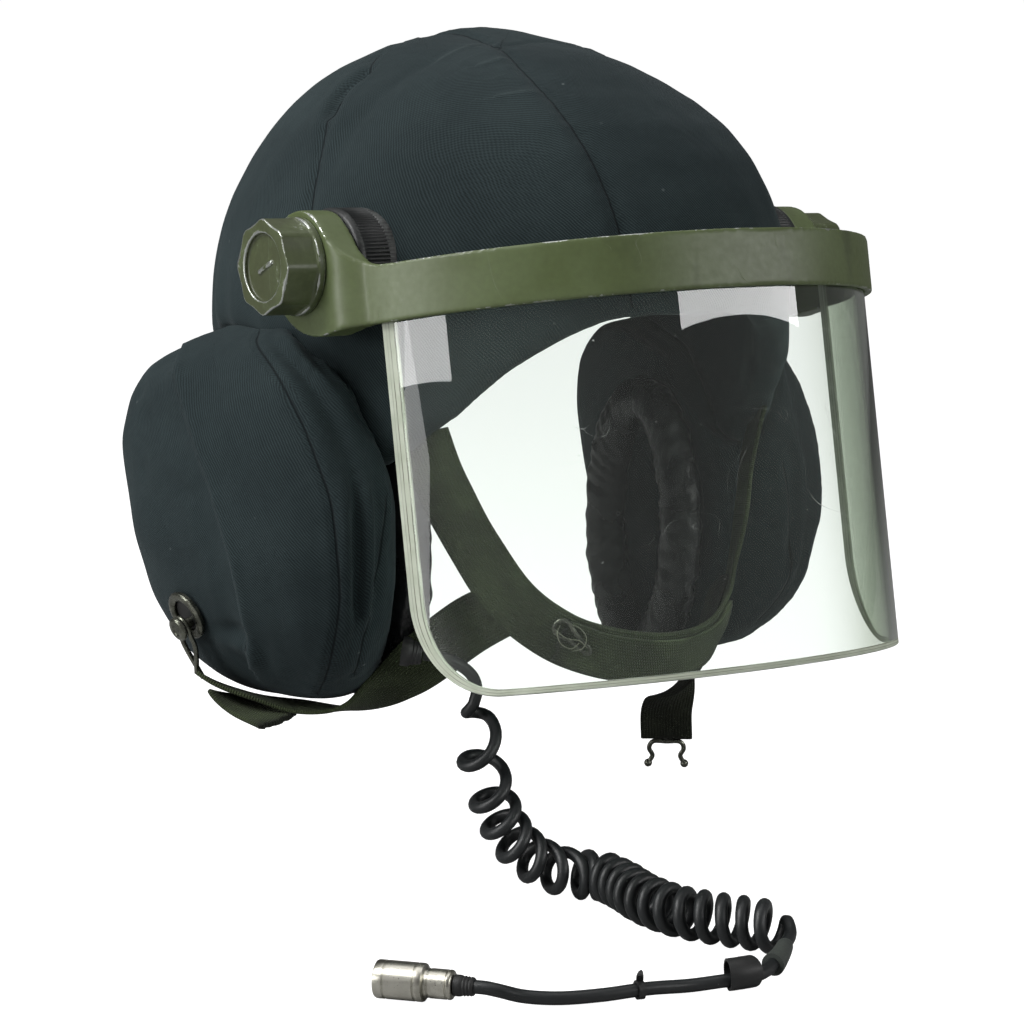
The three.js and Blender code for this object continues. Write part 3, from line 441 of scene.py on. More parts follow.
# Folds: places, height of the ridge (a valley is less than nought) and its width
coverFolds = [
    ([[-122, 34, -26], [-122.6, 24.8, -28.5], [-124.7, 3, -37.4], [-118.8, -9.6, -46.9],
      [-107.9, -16.1, -60.2]], 2.8, 3.6),
    ([[-121.5, 15.3, -30.1], [-121.6, -3.2, -40.4], [-115.9, -12.4, -50.9],
      [-107.6, -17.7, -64.1]], -3.0, 2.2),
    ([[-112, 22, -27], [-112, 2, -34], [-108, -14, -50], [-99, -19, -66]], -2.4, 4),
    ([[-126, 20, -33], [-128, -4, -47], [-124, -20, -66], [-121, -25, -84]], -2.0, 3.2),
    ([[-126.6, -24.6, -83], [-127.3, -27.4, -114.4], [-122, -19.3, -147.9]], 1.6, 3),
    ([[-121.5, -26, -80], [-122.5, -28.5, -114.8], [-119, -22, -146]], -2.6, 2.6),
    ([[-117, -26.2, -83.6], [-117, -28.5, -115.3], [-116.5, -22.7, -144.1]], 2.2, 3),
    ([[-112, -25, -84], [-112.5, -27.5, -112], [-111.5, -22, -142]], -2.0, 2.4),
    ([[-158.5, 60, -88], [-157, 48, -93], [-156, 38, -92]], -1.2, 4),
    ([[-156, 66, -120], [-155.5, 52, -122], [-154, 36, -118]], -0.9, 6),
    ([[-147, 40, -150], [-146, 30, -149], [-145, 24, -150]], -2.2, 3.5),
    ([[-146, 40, -157], [-144, 30, -156.5], [-142, 22, -158]], 2.2, 4.5),
    ([[-138, 14, -150], [-138, 18, -160], [-134, 22, -170]], -1.0, 4),
    ([[-156, 96, -60], [-157, 84, -62], [-157, 72, -66]], -1.0, 5),
]
coverPulls = [[-158.9, 81.6, -86.2], [-151.5, 98.2, -54.1]]


def sideRows(rows, side):
    return [[-side * row[0], row[1], row[2]] for row in rows]


def makeCover(side, node):
    rough = remeshed(cadMesh(node), cover["voxel"], cover["smoothing"])
    places = toPivot(pointsOf(rough))
    normals = normalsOf(rough)
    seams = nearest([seamDistance(places, normals, laidOn(rough, sideRows(rows, side)))
                     for rows in coverSeams])
    inside = side * places[:, 0] < 92
    held = np.clip(1.3 - np.abs(seams) / 5, 0, 1)
    held[inside] = 1
    shrunk = places - normals * (cover["shrink"] * (1 - held))[:, None]
    setPoints(rough, fromPivot(shrunk))
    soft = swollen(rough, held, cover["pressure"], cover["cap"], cover["frames"])
    mesh = withModifiers(soft, [("SUBSURF", {"levels": 1, "render_levels": 1}),
                                ("SMOOTH", {"factor": 0.4, "iterations": 2})])
    mesh.shade_smooth()
    places = toPivot(pointsOf(mesh))
    normals = normalsOf(mesh)
    laid = [seamDistance(places, normals, laidOn(mesh, sideRows(rows, side))) for rows in coverSeams]
    seams = nearest(laid)
    move = -cover["seamDepth"] * groove(seams, cover["seamWidth"])
    # The middle panel stands over the back one along the first seam
    forward = laid[0] * side
    step = np.tanh(forward / 1.6)
    move += 2.3 * np.clip(1 - np.abs(forward - 3) / 18, 0, 1) * np.clip(step, 0, 1)
    move += 1.6 * np.clip(1 - np.abs(forward + 3) / 14, 0, 1) * np.clip(step, -1, 0)
    for rows, height, width in coverFolds:
        line = laidOn(mesh, sideRows(rows, side))
        fromStart = np.linalg.norm(places - line[0], axis=1)
        fromEnd = np.linalg.norm(places - line[-1], axis=1)
        ends = np.minimum(fromStart, fromEnd)
        fade = 0.35 + 0.65 * np.clip(ends / 12, 0, 1)
        move += 1.25 * height * groove(seamDistance(places, normals, line), width) * fade
    pullPlaces = np.array(coverPulls) * [-side, 1, 1]
    pulls = np.min([np.linalg.norm(places - p, axis=1) for p in pullPlaces], axis=0)
    move -= 1.1 * groove(pulls, 4)
    move += 0.3 * waves(places, 34, 11 + side)
    move += 0.12 * np.sin(waves(places, 15, 12) * 3) * groove(seams, 12)
    move *= np.clip((side * places[:, 0] - 90) / 6, 0, 1)
    setPoints(mesh, fromPivot(places + normals * move[:, None]))
    setAttribute(mesh, "seam", seams)
    setAttribute(mesh, "crease", np.full(len(places), 50.0))
    return mesh


for side, word in ((-1, "right"), (1, "left")):
    node = "ear_cover_" + word
    # The right side has a negative X
    piece = addObject("ear_cloth_" + word, makeCover(side, node))
    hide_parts(node)
    print(node + ":", len(piece.data.polygons), "faces")


# Ear cushions: soft vinyl rings, gathered round their curves
earPad = {"voxel": 3.0, "smoothing": 3, "swell": 0.8, "wrinkle": 0.55}


def makeEarPad(side, node):
    rough = remeshed(cadMesh(node), earPad["voxel"], earPad["smoothing"])
    mesh = withModifiers(rough, [("SUBSURF", {"levels": 1, "render_levels": 1})])
    mesh.shade_smooth()
    places = toPivot(pointsOf(mesh))
    normals = normalsOf(mesh)
    turn = np.arctan2((places[:, 1] - 34) / 27, (places[:, 2] + 121) / 57)
    gathers = np.sin(turn * 34 + 1.6 * waves(places, 30, 21)) * np.sin(turn * 13 + waves(places, 40, 22))
    move = earPad["wrinkle"] * gathers + 0.2 * waves(places, 9, 23)
    # Fullest on the inner side, flat where the ring sits on its cup
    full = np.clip((80 - side * places[:, 0]) / 12, 0, 1)
    move += earPad["swell"] * full - 0.8
    setPoints(mesh, fromPivot(places + normals * move[:, None]))
    return mesh


for side, word in ((-1, "right"), (1, "left")):
    node = "ear_cushion_" + word
    piece = addObject("ear_ring_" + word, makeEarPad(side, node))
    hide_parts(node)
print("ear cushions done")


# Solids from outlines
def prism(name, outline, low, high, turnTo=None):
    count = len(outline)
    points = [(x, y, low) for x, y in outline] + [(x, y, high) for x, y in outline]
    faces = [list(range(count))[::-1], list(range(count, 2 * count))]
    faces += [[i, (i + 1) % count, count + (i + 1) % count, count + i] for i in range(count)]
    mesh = meshFrom(name, points, faces, smooth=False)
    if turnTo is not None:
        mesh.transform(turnTo)
    shape = bmesh.new()
    shape.from_mesh(mesh)
    bmesh.ops.recalc_face_normals(shape, faces=shape.faces)
    shape.to_mesh(mesh)
    shape.free()
    return mesh


def combined(base, others, way):
    for other in others:
        tool = bpy.data.objects.new("tool", other)
        bpy.context.scene.collection.objects.link(tool)
        base = withModifiers(base, [("BOOLEAN", {"operation": way, "solver": "EXACT", "object": tool})])
        bpy.data.objects.remove(tool)
    return base


def joined(meshes):
    shape = bmesh.new()
    for mesh in meshes:
        shape.from_mesh(mesh)
    result = bpy.data.meshes.new("joined")
    shape.to_mesh(result)
    shape.free()
    return result


def circle(radius, sides):
    return [(radius * math.cos(2 * math.pi * i / sides), radius * math.sin(2 * math.pi * i / sides))
            for i in range(sides)]


def cubicLine(a, b, c, d, steps):
    t = np.linspace(0, 1, steps + 1)[1:, None]
    a, b, c, d = (np.array(p, float) for p in (a, b, c, d))
    return ((1 - t)**3 * a + 3 * (1 - t)**2 * t * b + 3 * (1 - t) * t**2 * c + t**3 * d).tolist()


visorTurn = Matrix.Rotation(-visorTilt, 4, "X")


def placedInFrame(mesh, turn=None):
    places = pointsOf(mesh)
    if turn is not None:
        places = places @ np.array(turn.to_3x3()).T
    setPoints(mesh, fromPivot(places))
    return mesh


# How sharply a skin turns at each point, from nought on a flat to one on a hard edge
def edgeTurns(mesh, spread=2):
    count = len(mesh.vertices)
    faceNormals = np.empty(len(mesh.polygons) * 3, np.float32)
    mesh.polygons.foreach_get("normal", faceNormals)
    faceNormals = faceNormals.reshape(-1, 3)
    corners = np.empty(len(mesh.loops), np.int32)
    mesh.loops.foreach_get("vertex_index", corners)
    sizes = np.empty(len(mesh.polygons), np.int32)
    mesh.polygons.foreach_get("loop_total", sizes)
    owner = np.repeat(np.arange(len(mesh.polygons)), sizes)
    total = np.zeros((count, 3))
    np.add.at(total, corners, faceNormals[owner])
    number = np.bincount(corners, minlength=count)
    bend = 1 - np.linalg.norm(total, axis=1) / np.maximum(number, 1)
    edges = np.empty(len(mesh.edges) * 2, np.int32)
    mesh.edges.foreach_get("vertices", edges)
    edges = edges.reshape(-1, 2)
    centre = np.zeros((count, 3))
    here = pointsOf(mesh)
    degree = np.bincount(edges.ravel(), minlength=count)
    np.add.at(centre, edges[:, 0], here[edges[:, 1]])
    np.add.at(centre, edges[:, 1], here[edges[:, 0]])
    outward = ((here - centre / np.maximum(degree, 1)[:, None]) * normalsOf(mesh)).sum(1) > 0
    value = bend * outward
    for _ in range(spread):
        total = value.copy()
        np.add.at(total, edges[:, 0], value[edges[:, 1]])
        np.add.at(total, edges[:, 1], value[edges[:, 0]])
        value = total / (degree + 1)
    return np.clip(value / max(float(np.percentile(value, 99)), 1e-6), 0, 1)


# Visor band: a plan outline and a side outline, cut into each other
band = {
    "radius": 127, "thickness": 3, "centreY": -2.2, "top": -5.1, "bottom": -27.6,
    "lugOuter": 131, "lugInner": 118, "hole": 6.35, "arcSteps": 120, "voxel": 0.85, "smoothing": 4,
}


def makeBand():
    outer = band["radius"]
    inner = outer - band["thickness"]
    lugOut = band["lugOuter"]
    lugIn = band["lugInner"]
    reach = lambda radius, y: math.acos((band["centreY"] - y) / radius)
    arc = lambda radius, first, last: [
        (radius * math.sin(a), band["centreY"] - radius * math.cos(a))
        for a in np.linspace(first, last, band["arcSteps"])]
    outerEnd = reach(outer, -33)
    innerEnd = reach(inner, -35.5)
    bendEnd = arc(outer, outerEnd, 0)[0]
    outwardBend = cubicLine((lugOut, -19), (lugOut, -25), (lugOut - 3.5, -27), bendEnd, 10)
    plan = [(lugOut, 26), (lugOut, -19)] + [tuple(p) for p in outwardBend[:-1]]
    plan += arc(outer, outerEnd, -outerEnd)
    plan += [(-x, y) for x, y in reversed(plan[:2 + len(outwardBend) - 1])]
    plan += [(-lugIn, 26), (-lugIn, -20)]
    plan += arc(inner, -innerEnd, innerEnd)
    plan += [(lugIn, -20), (lugIn, 26)]
    above = prism("plan", plan, -40, 40)
    bottom = band["bottom"]
    top = band["top"]
    side = [(-140, bottom), (-36, bottom)]
    side += cubicLine((-36, bottom), (-20, bottom), (-18, -29.3), (-9, -29), 14)
    side += cubicLine((-9, -29), (8, -28), (22, -16), (22, 0), 18)
    side += [(22 * math.cos(a), 22 * math.sin(a)) for a in np.linspace(0, math.radians(122), 40)[1:]]
    side += cubicLine(side[-1], (-20, 13), (-24, top), (-44, top), 16)
    side += [(-140, top)]
    across = Matrix(((0, 0, 1, 0), (1, 0, 0, 0), (0, 1, 0, 0), (0, 0, 0, 1)))
    outline = prism("outline", side, -150, 150, across)
    hole = prism("hole", circle(band["hole"], 48), -145, 145, across)
    shape = combined(above, [outline], "INTERSECT")
    shape = combined(shape, [hole], "DIFFERENCE")
    setPoints(shape, pointsOf(shape) / 1000)
    shape = remeshed(shape, band["voxel"], band["smoothing"])
    setPoints(shape, pointsOf(shape) * 1000)
    setAttribute(shape, "edge", edgeTurns(shape))
    return placedInFrame(shape, visorTurn)


bandPiece = addObject("painted_band", makeBand(), "visor")
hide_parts("visor_band")
print("band:", len(bandPiece.data.polygons), "faces")

# Visor shield: a clear sheet bent to the band, its edge rounded and painted pale, a painted glow of light
# along the sheet seen edge-on
shield = {
    "radius": 123.65, "thickness": 3.4, "centreY": -2.2, "halfAngle": 74.2, "top": -9.0,
    "bottom": -174.5, "corner": 38.0, "cornerSteps": 22, "middleSteps": 96, "rows": 22, "frostSide": 5.8,
    "frostBelow": 2.6,
}


def makeShield():
    outer = shield["radius"]
    thick = shield["thickness"]
    half = math.radians(shield["halfAngle"])
    cornerTurn = shield["corner"] / outer
    cornerAngles = np.linspace(0, math.pi / 2, shield["cornerSteps"])
    ends = [half - cornerTurn * (1 - math.cos(t)) for t in cornerAngles]
    middle = list(np.linspace(half - cornerTurn, -(half - cornerTurn), shield["middleSteps"]))
    angles = ends[:-1] + [half - cornerTurn] + middle[1:-1] + [-(half - cornerTurn)]
    angles += [-a for a in reversed(ends[:-1])]
    # The edge's own section: share of the thickness from outside to inside, and how far it stands in
    lip = [(0.0, 0.55), (0.1, 0.2), (0.25, 0.0), (0.75, 0.0), (0.9, 0.2), (1.0, 0.55)]
    closeTo = [9.5, 7.5, 6, 4.8, 3.8, 2.9, 2.0, 1.2, 0.55]
    rowCount = shield["rows"] + len(closeTo)
    points = []
    frost = []
    edgeRows = []
    for angle in angles:
        into = max(0.0, shield["corner"] - (half - abs(angle)) * outer)
        low = shield["bottom"] + shield["corner"] - math.sqrt(max(0.0, shield["corner"] ** 2 - into ** 2))
        heights = np.append(np.linspace(shield["top"], low + 12, shield["rows"]), low + np.array(closeTo))
        ring = [(0.0, z) for z in heights]
        ring += [(share, low + stand) for share, stand in lip[1:-1]]
        ring += [(1.0, z) for z in heights[::-1]]
        for share, z in ring:
            radius = outer - thick * share
            points.append((radius * math.sin(angle), shield["centreY"] - radius * math.cos(angle), z))
            # Share of the frosted strip's width: nought at the border, one where the clear sheet starts
            up = z - shield["bottom"]
            fromSide = (half - abs(angle)) * outer
            if into > 0 and up < shield["corner"]:
                down = shield["corner"] - up
                turn = math.atan2(down, into)
                width = shield["frostSide"] * math.cos(turn) ** 2
                width += shield["frostBelow"] * math.sin(turn) ** 2
                frost.append((shield["corner"] - math.hypot(into, down)) / width)
            else:
                frost.append(min(fromSide / shield["frostSide"], up / shield["frostBelow"]))
    size = 2 * rowCount + len(lip) - 2
    faces = []
    for i in range(len(angles) - 1):
        for k in range(size):
            a, b = i * size + k, i * size + (k + 1) % size
            faces.append((a, b, b + size, a + size))
            edgeRows.append(rowCount - 1 <= k < rowCount + len(lip) - 3)
    # The two upright ends are closed row by row across the thickness
    for i, flip in ((0, True), (len(angles) - 1, False)):
        for k in range(rowCount - 1):
            a = i * size + k
            b = i * size + size - 1 - k
            quad = (a, a + 1, b - 1, b)
            faces.append(quad[::-1] if not flip else quad)
            edgeRows.append(True)
        k = rowCount - 1
        rest = [i * size + j for j in range(k, size - k)]
        faces.append(rest[::-1] if not flip else rest)
        edgeRows.append(True)
    mesh = meshFrom("shield", points, faces)
    shape = bmesh.new()
    shape.from_mesh(mesh)
    shape.faces.ensure_lookup_table()
    for face, isEdge in zip(shape.faces, edgeRows):
        face.material_index = int(isEdge)
    bmesh.ops.recalc_face_normals(shape, faces=shape.faces)
    shape.to_mesh(mesh)
    shape.free()
    mesh.set_sharp_from_angle(angle=math.radians(38))
    setAttribute(mesh, "rim", np.clip(frost, 0, 4))
    return placedInFrame(mesh, visorTurn)


shieldPiece = addObject("clear_sheet", makeShield(), "visor")
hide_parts("visor_shield")
print("shield:", len(shieldPiece.data.polygons), "faces")

# Knobs: an eight-cornered grip with hollow sides on a round flange, its face sunk and ribbed
knob = {
    "radius": 19.0, "back": 131.35, "face": 148.5, "flange": 3.0, "sunkRadius": 13.4, "sunk": 1.9,
    "markTurn": -25, "hole": 6.35, "voxel": 0.42, "smoothing": 3,
}


def makeKnob(side):
    outline = []
    for i in range(8):
        for share, reach in ((-0.1, 0.992), (0, 1), (0.1, 0.992), (0.2, 0.965), (0.3, 0.944), (0.4, 0.93),
                             (0.5, 0.925), (0.6, 0.93), (0.7, 0.944), (0.8, 0.965)):
            turn = (i + share) * math.pi / 4
            radius = knob["radius"] * reach
            outline.append((radius * math.cos(turn), radius * math.sin(turn)))
    back = knob["back"]
    flangeTop = back + knob["flange"]
    body = prism("grip", outline, flangeTop - 1, knob["face"])
    flange = prism("flange", circle(knob["radius"] + 0.6, 96), back, flangeTop)
    waist = prism("waist", circle(knob["radius"] - 1.2, 96), flangeTop - 0.6, flangeTop + 1.2)
    sunk = prism("sunk", circle(knob["sunkRadius"], 96), knob["face"] - knob["sunk"], knob["face"] + 5)
    hole = prism("hole", circle(knob["hole"], 48), back - 5, back + 8)
    turn = Matrix.Rotation(math.radians(knob["markTurn"]), 4, "Z")
    slotLine = [(-5.5, -0.55), (-5.2, -0.85), (5.2, -0.85), (5.5, -0.55), (5.5, 0.55), (5.2, 0.85),
                (-5.2, 0.85), (-5.5, 0.55)]
    mark = prism("mark", slotLine, knob["face"] - knob["sunk"] - 0.5, knob["face"] - 0.9, turn)
    shape = combined(body, [flange, waist], "UNION")
    shape = combined(shape, [sunk, hole], "DIFFERENCE")
    shape = combined(shape, [mark], "UNION")
    setPoints(shape, pointsOf(shape) / 1000)
    shape = remeshed(shape, knob["voxel"], knob["smoothing"])
    places = pointsOf(shape) * 1000
    setPoints(shape, places)
    setAttribute(shape, "edge", edgeTurns(shape))
    outwardX = np.stack([side * places[:, 2], places[:, 0], places[:, 1]], axis=1)
    setPoints(shape, fromPivot(outwardX))
    if side < 0:
        shape.flip_normals()
    return shape


for side, word in ((-1, "right"), (1, "left")):
    piece = addObject("turn_knob_" + word, makeKnob(side), "knob_" + word)
    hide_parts("knob_" + word)
print("knobs done")


# Turned pieces from a profile of radius and height; the wheel may carry fine ribs
def turnedMesh(profile, place, look, sides=64, ribs=None):
    look = unit(look)
    first = unit(np.cross(look, [0.0, 0.0, 1.0] if abs(look[2]) < 0.9 else [1.0, 0.0, 0.0]))
    second = np.cross(look, first)
    points = []
    for radius, height, *ribbed in profile:
        for i in range(sides):
            turn = 2 * math.pi * i / sides
            depth = 0.0
            if ribbed and ribs:
                depth = ribs[1] * (0.5 - 0.5 * math.cos(turn * ribs[0])) * ribbed[0]
            reach = max(radius - depth, 0.001)
            points.append(np.array(place) + look * height
                          + (first * math.cos(turn) + second * math.sin(turn)) * reach)
    faces = []
    for row in range(len(profile) - 1):
        for i in range(sides):
            a, b = row * sides + i, row * sides + (i + 1) % sides
            faces.append((a, b, b + sides, a + sides))
    faces.append(list(range(sides))[::-1])
    faces.append([(len(profile) - 1) * sides + i for i in range(sides)])
    mesh = meshFrom("turned", fromPivot(points), faces)
    shape = bmesh.new()
    shape.from_mesh(mesh)
    bmesh.ops.recalc_face_normals(shape, faces=shape.faces)
    shape.to_mesh(mesh)
    shape.free()
    mesh.set_sharp_from_angle(angle=math.radians(40))
    setAttribute(mesh, "edge", edgeTurns(mesh, 0))
    return mesh


# Pivot discs: black, with a ribbed rim, and the steel stud that carries the lug
disc = {
    "radius": 23.0, "inner": 97.0, "outer": 117.6, "stud": 6.0, "studEnd": 139.0, "ribs": 90,
    "ribDepth": 0.6,
}


def makeDisc(side):
    r = disc["radius"]
    low = disc["inner"]
    high = disc["outer"]
    profile = [
        (0.01, low), (r - 1.0, low), (r, low + 1.0), (r, low + 6), (r, low + 6.4, 1), (r, high - 3.4, 1),
        (r, high - 3), (r, high - 1.4), (r - 0.5, high - 0.5), (r - 1.4, high), (r - 6, high),
        (r - 6.4, high - 0.5), (r - 10, high - 0.5), (r - 10.4, high), (disc["stud"], high),
        (disc["stud"], disc["studEnd"] - 0.8), (disc["stud"] - 0.8, disc["studEnd"]),
        (0.01, disc["studEnd"]),
    ]
    return turnedMesh(profile, [0, 0, 0], [side, 0, 0], 360, (disc["ribs"], disc["ribDepth"]))


for side, word in ((-1, "right"), (1, "left")):
    piece = addObject("ribbed_disc_" + word, makeDisc(side))
    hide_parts("pivot_disc_" + word)
print("discs done")


# Straps: flat webbing with rounded edges along rows of places and the way that the face looks
strapSize = {"width": 24.0, "thickness": 2.0, "step": 1.5, "acrossPoints": 13, "fray": 1.6}
chinStrapRows = [
    [-92, -26, -62, -0.9, -0.45, 0], [-82, -28, -88, -0.9, -0.45, 0], [-71, -36, -114, -0.85, -0.5, -0.1],
    [-58, -44, -136, -0.75, -0.6, -0.25], [-43, -55, -150, -0.55, -0.75, -0.35],
    [-24, -66, -157.5, -0.3, -0.88, -0.4], [0, -71, -160, 0, -0.9, -0.45],
]
rearStrapRightRows = [
    [-57, -37, -137.5, -0.65, -0.68, -0.3], [-66, -24, -147, -0.87, -0.45, -0.2],
    [-75, -11, -159, -0.8, -0.4, -0.4], [-84, 4, -173, -0.55, -0.35, -0.75],
    [-96, 18, -184, -0.2, -0.15, -0.97], [-113, 33, -184, 0, 0, -1], [-129, 45, -179.5, -0.25, 0, -0.95],
    [-138, 54, -175.5, -0.45, 0.1, -0.85], [-143, 60, -172, -0.6, 0.2, -0.75],
]
rearStrapLeftRows = [
    [48.6, -47.6, -143, 0.65, -0.68, -0.3], [60, -31, -150, 0.87, -0.45, -0.2],
    [72, -12, -166, 0.8, -0.6, 0], [82, 8, -184, 0.45, -0.9, 0], [88, 26, -197, 0, -1, 0.1],
    [91.5, 37, -210, -0.5, -0.85, 0], [94, 40, -225, -0.65, -0.75, 0],
]
strapTailRows = [
    [-139, 56, -175.8, -0.5, 0.2, -0.8], [-137.5, 49, -180, -0.3, 0.25, -0.9],
    [-134, 38, -184, -0.1, 0.28, -0.94], [-129, 23, -187, 0.04, 0.28, -0.94],
]


def bothSides(rows):
    return rows + [[-row[0], row[1], row[2], -row[3], row[4], row[5]] for row in rows[-2::-1]]


def strapMesh(rows, width=strapSize["width"], thickness=strapSize["thickness"], lift=0.0,
              trim=(0.0, 0.0), seed=1, frayed=(0, 0), curl=0.0):
    line = evenLine(smoothLine(rows), strapSize["step"])
    along = lengthsAlong(line)
    keep = (along >= trim[0]) & (along <= along[-1] - trim[1])
    line = line[keep]
    along = lengthsAlong(line)
    middle = line[:, :3]
    looks = unit(line[:, 3:])
    tangents = unit(np.gradient(middle, axis=0))
    wide = unit(np.cross(looks, tangents))
    thick = unit(np.cross(tangents, wide))
    if np.isscalar(lift):
        liftAt = np.interp(along, [0, 18, 30], [lift, lift * 0.5, 0])
    else:
        liftAt = np.asarray(lift[0])
    half = width / 2
    round_ = thickness / 2
    flat = np.linspace(half - round_, -(half - round_), strapSize["acrossPoints"])
    arc = [(math.cos(a), math.sin(a)) for a in np.linspace(math.pi / 2, -math.pi / 2, 5)]
    section = [(w, round_) for w in flat]
    section += [(-(half - round_) - round_ * c, round_ * s) for c, s in arc[1:-1]]
    section += [(w, -round_) for w in flat[::-1]]
    section += [(half - round_ + round_ * c, round_ * s) for c, s in arc[::-1][1:-1]]
    size = len(section)
    points = []
    acrossAt = []
    alongAt = []
    slack = 0.25 * waves(middle, 30, seed)
    for i in range(len(middle)):
        for w, t in section:
            bow = curl * (w / half) ** 2 + slack[i] * math.cos(w / half * 2.2 + i * 0.05)
            points.append(middle[i] + wide[i] * w + thick[i] * (t + bow + liftAt[i]))
            acrossAt.append(w)
            alongAt.append(along[i])
    points = np.array(points)
    chance = np.random.default_rng(seed)
    for end, sign in ((0, -1), (1, 1)):
        if frayed[end]:
            ring = (len(middle) - 1) * size * end
            points[ring:ring + size] += sign * tangents[-end] * chance.uniform(-0.9, 0.9, (size, 1))
    faces = []
    for i in range(len(middle) - 1):
        for k in range(size):
            a, b = i * size + k, i * size + (k + 1) % size
            faces.append((a, b, b + size, a + size))
    # Each end is closed in strips across the thickness
    for base, flip in ((0, True), ((len(middle) - 1) * size, False)):
        count = len(flat)
        for k in range(count - 1):
            across = base + 2 * count + 1 - k
            quad = (base + k, base + k + 1, across, across + 1)
            faces.append(quad[::-1] if flip else quad)
        left = tuple(base + count - 1 + k for k in range(5))
        right = tuple(base + (2 * count + 2 + k) % size for k in range(4)) + (base,)
        faces.append(left[::-1] if flip else left)
        faces.append(right[::-1] if flip else right)
    mesh = meshFrom("strap", fromPivot(points), faces)
    shape = bmesh.new()
    shape.from_mesh(mesh)
    bmesh.ops.recalc_face_normals(shape, faces=shape.faces)
    shape.to_mesh(mesh)
    shape.free()
    setAttribute(mesh, "across", acrossAt)
    setAttribute(mesh, "along", alongAt)
    whole = along[-1]
    alongAt = np.array(alongAt)
    startFray = np.where(frayed[0], np.exp(-alongAt / strapSize["fray"]), 0)
    endFray = np.where(frayed[1], np.exp((alongAt - whole) / strapSize["fray"]), 0)
    setAttribute(mesh, "frayed", startFray + endFray)
    return mesh


def addStrap(name, node, meshes):
    whole = joined(meshes) if len(meshes) > 1 else meshes[0]
    whole.shade_smooth()
    piece = addObject(name, whole)
    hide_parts(node)
    print(name + ":", len(piece.data.polygons), "faces")
    return piece


chinRows = bothSides(chinStrapRows)
chinTrim = 4.0
addStrap("chin_web", "chin_strap", [strapMesh(chinRows, trim=(chinTrim, chinTrim), seed=31)])
padRows = chinRows[4:9]
padLine = lengthsAlong(evenLine(smoothLine(padRows), strapSize["step"]))
padLift = np.full(len(padLine), 2.5)
addStrap("chin_patch", "chin_pad", [strapMesh(padRows, 20.0, 2.0, (padLift,), seed=32, frayed=(1, 1))])
addStrap("rear_web_right", "rear_strap_right", [
    strapMesh(rearStrapRightRows, lift=2.2, seed=33),
    strapMesh(strapTailRows, trim=(5.0, 0.0), seed=34, frayed=(0, 1), curl=-0.9),
])
addStrap("rear_web_left", "rear_strap_left", [strapMesh(rearStrapLeftRows, lift=2.2, seed=35)])


# Stitching: short raised threads in rows on the straps, laid in pivot places
def stitchMesh(lines, length=2.4, gapAfter=1.3, radius=0.28):
    points = []
    faces = []
    for start, end, look in lines:
        start, end, look = (np.array(p, float) for p in (start, end, look))
        way = end - start
        whole = np.linalg.norm(way)
        way = way / whole
        look = unit(look - way * look.dot(way))
        side = np.cross(way, look)
        at = 0.0
        while at + length < whole:
            base = len(points)
            for share in np.linspace(0, 1, 5):
                rise = radius * (2.2 * math.sin(math.pi * share) - 0.4)
                middle = start + way * (at + length * share) + look * rise
                for k in range(6):
                    turn = 2 * math.pi * k / 6
                    points.append(middle + (side * math.cos(turn) + look * math.sin(turn)) * radius)
            for row in range(4):
                for k in range(6):
                    a, b = base + row * 6 + k, base + row * 6 + (k + 1) % 6
                    faces.append((a, b, b + 6, a + 6))
            faces.append([base + k for k in range(6)][::-1])
            faces.append([base + 24 + k for k in range(6)])
            at += length + gapAfter
    return meshFrom("stitches", fromPivot(points), faces)


def strapPlace(rows, share, across, lift):
    line = evenLine(smoothLine(rows), 0.5)
    i = int(np.clip(share * (len(line) - 1), 1, len(line) - 2))
    look = unit(line[i, 3:])
    tangent = unit(line[i + 1, :3] - line[i - 1, :3])
    wide = unit(np.cross(look, tangent))
    return line[i, :3] + wide * across + unit(np.cross(tangent, wide)) * lift, look


def strapStitches(rows, shareFrom, shareTo, lift):
    lines = []
    corners = [(shareFrom, -9.5), (shareTo, -9.5), (shareTo, 9.5), (shareFrom, 9.5), (shareFrom, -9.5)]
    corners += [(shareTo, 9.5), (shareTo, -9.5), (shareFrom, 9.5)]
    for (s0, a0), (s1, a1) in zip(corners, corners[1:]):
        start, look = strapPlace(rows, s0, a0, lift)
        end, _ = strapPlace(rows, s1, a1, lift)
        lines.append((start, end, look))
    return lines


sewnLines = strapStitches(rearStrapRightRows, 0.02, 0.11, 3.0)
sewnLines += strapStitches(rearStrapLeftRows, 0.02, 0.12, 3.0)
sewn = addObject("strap_stitches", stitchMesh(sewnLines))


# Wire pieces as bent rods
def wire(name, places, radius, node, closed=False, perSpan=10):
    rows = np.array(places, float)
    if closed:
        looped = np.vstack([rows[-2:], rows, rows[:3]])
        line = smoothLine(looped, perSpan)[2 * perSpan:-2 * perSpan - 1]
    else:
        line = smoothLine(rows, perSpan)
    piece = addObject(name, roundCurve(name, line, radius, 4, closed))
    if node:
        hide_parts(node)
    return piece


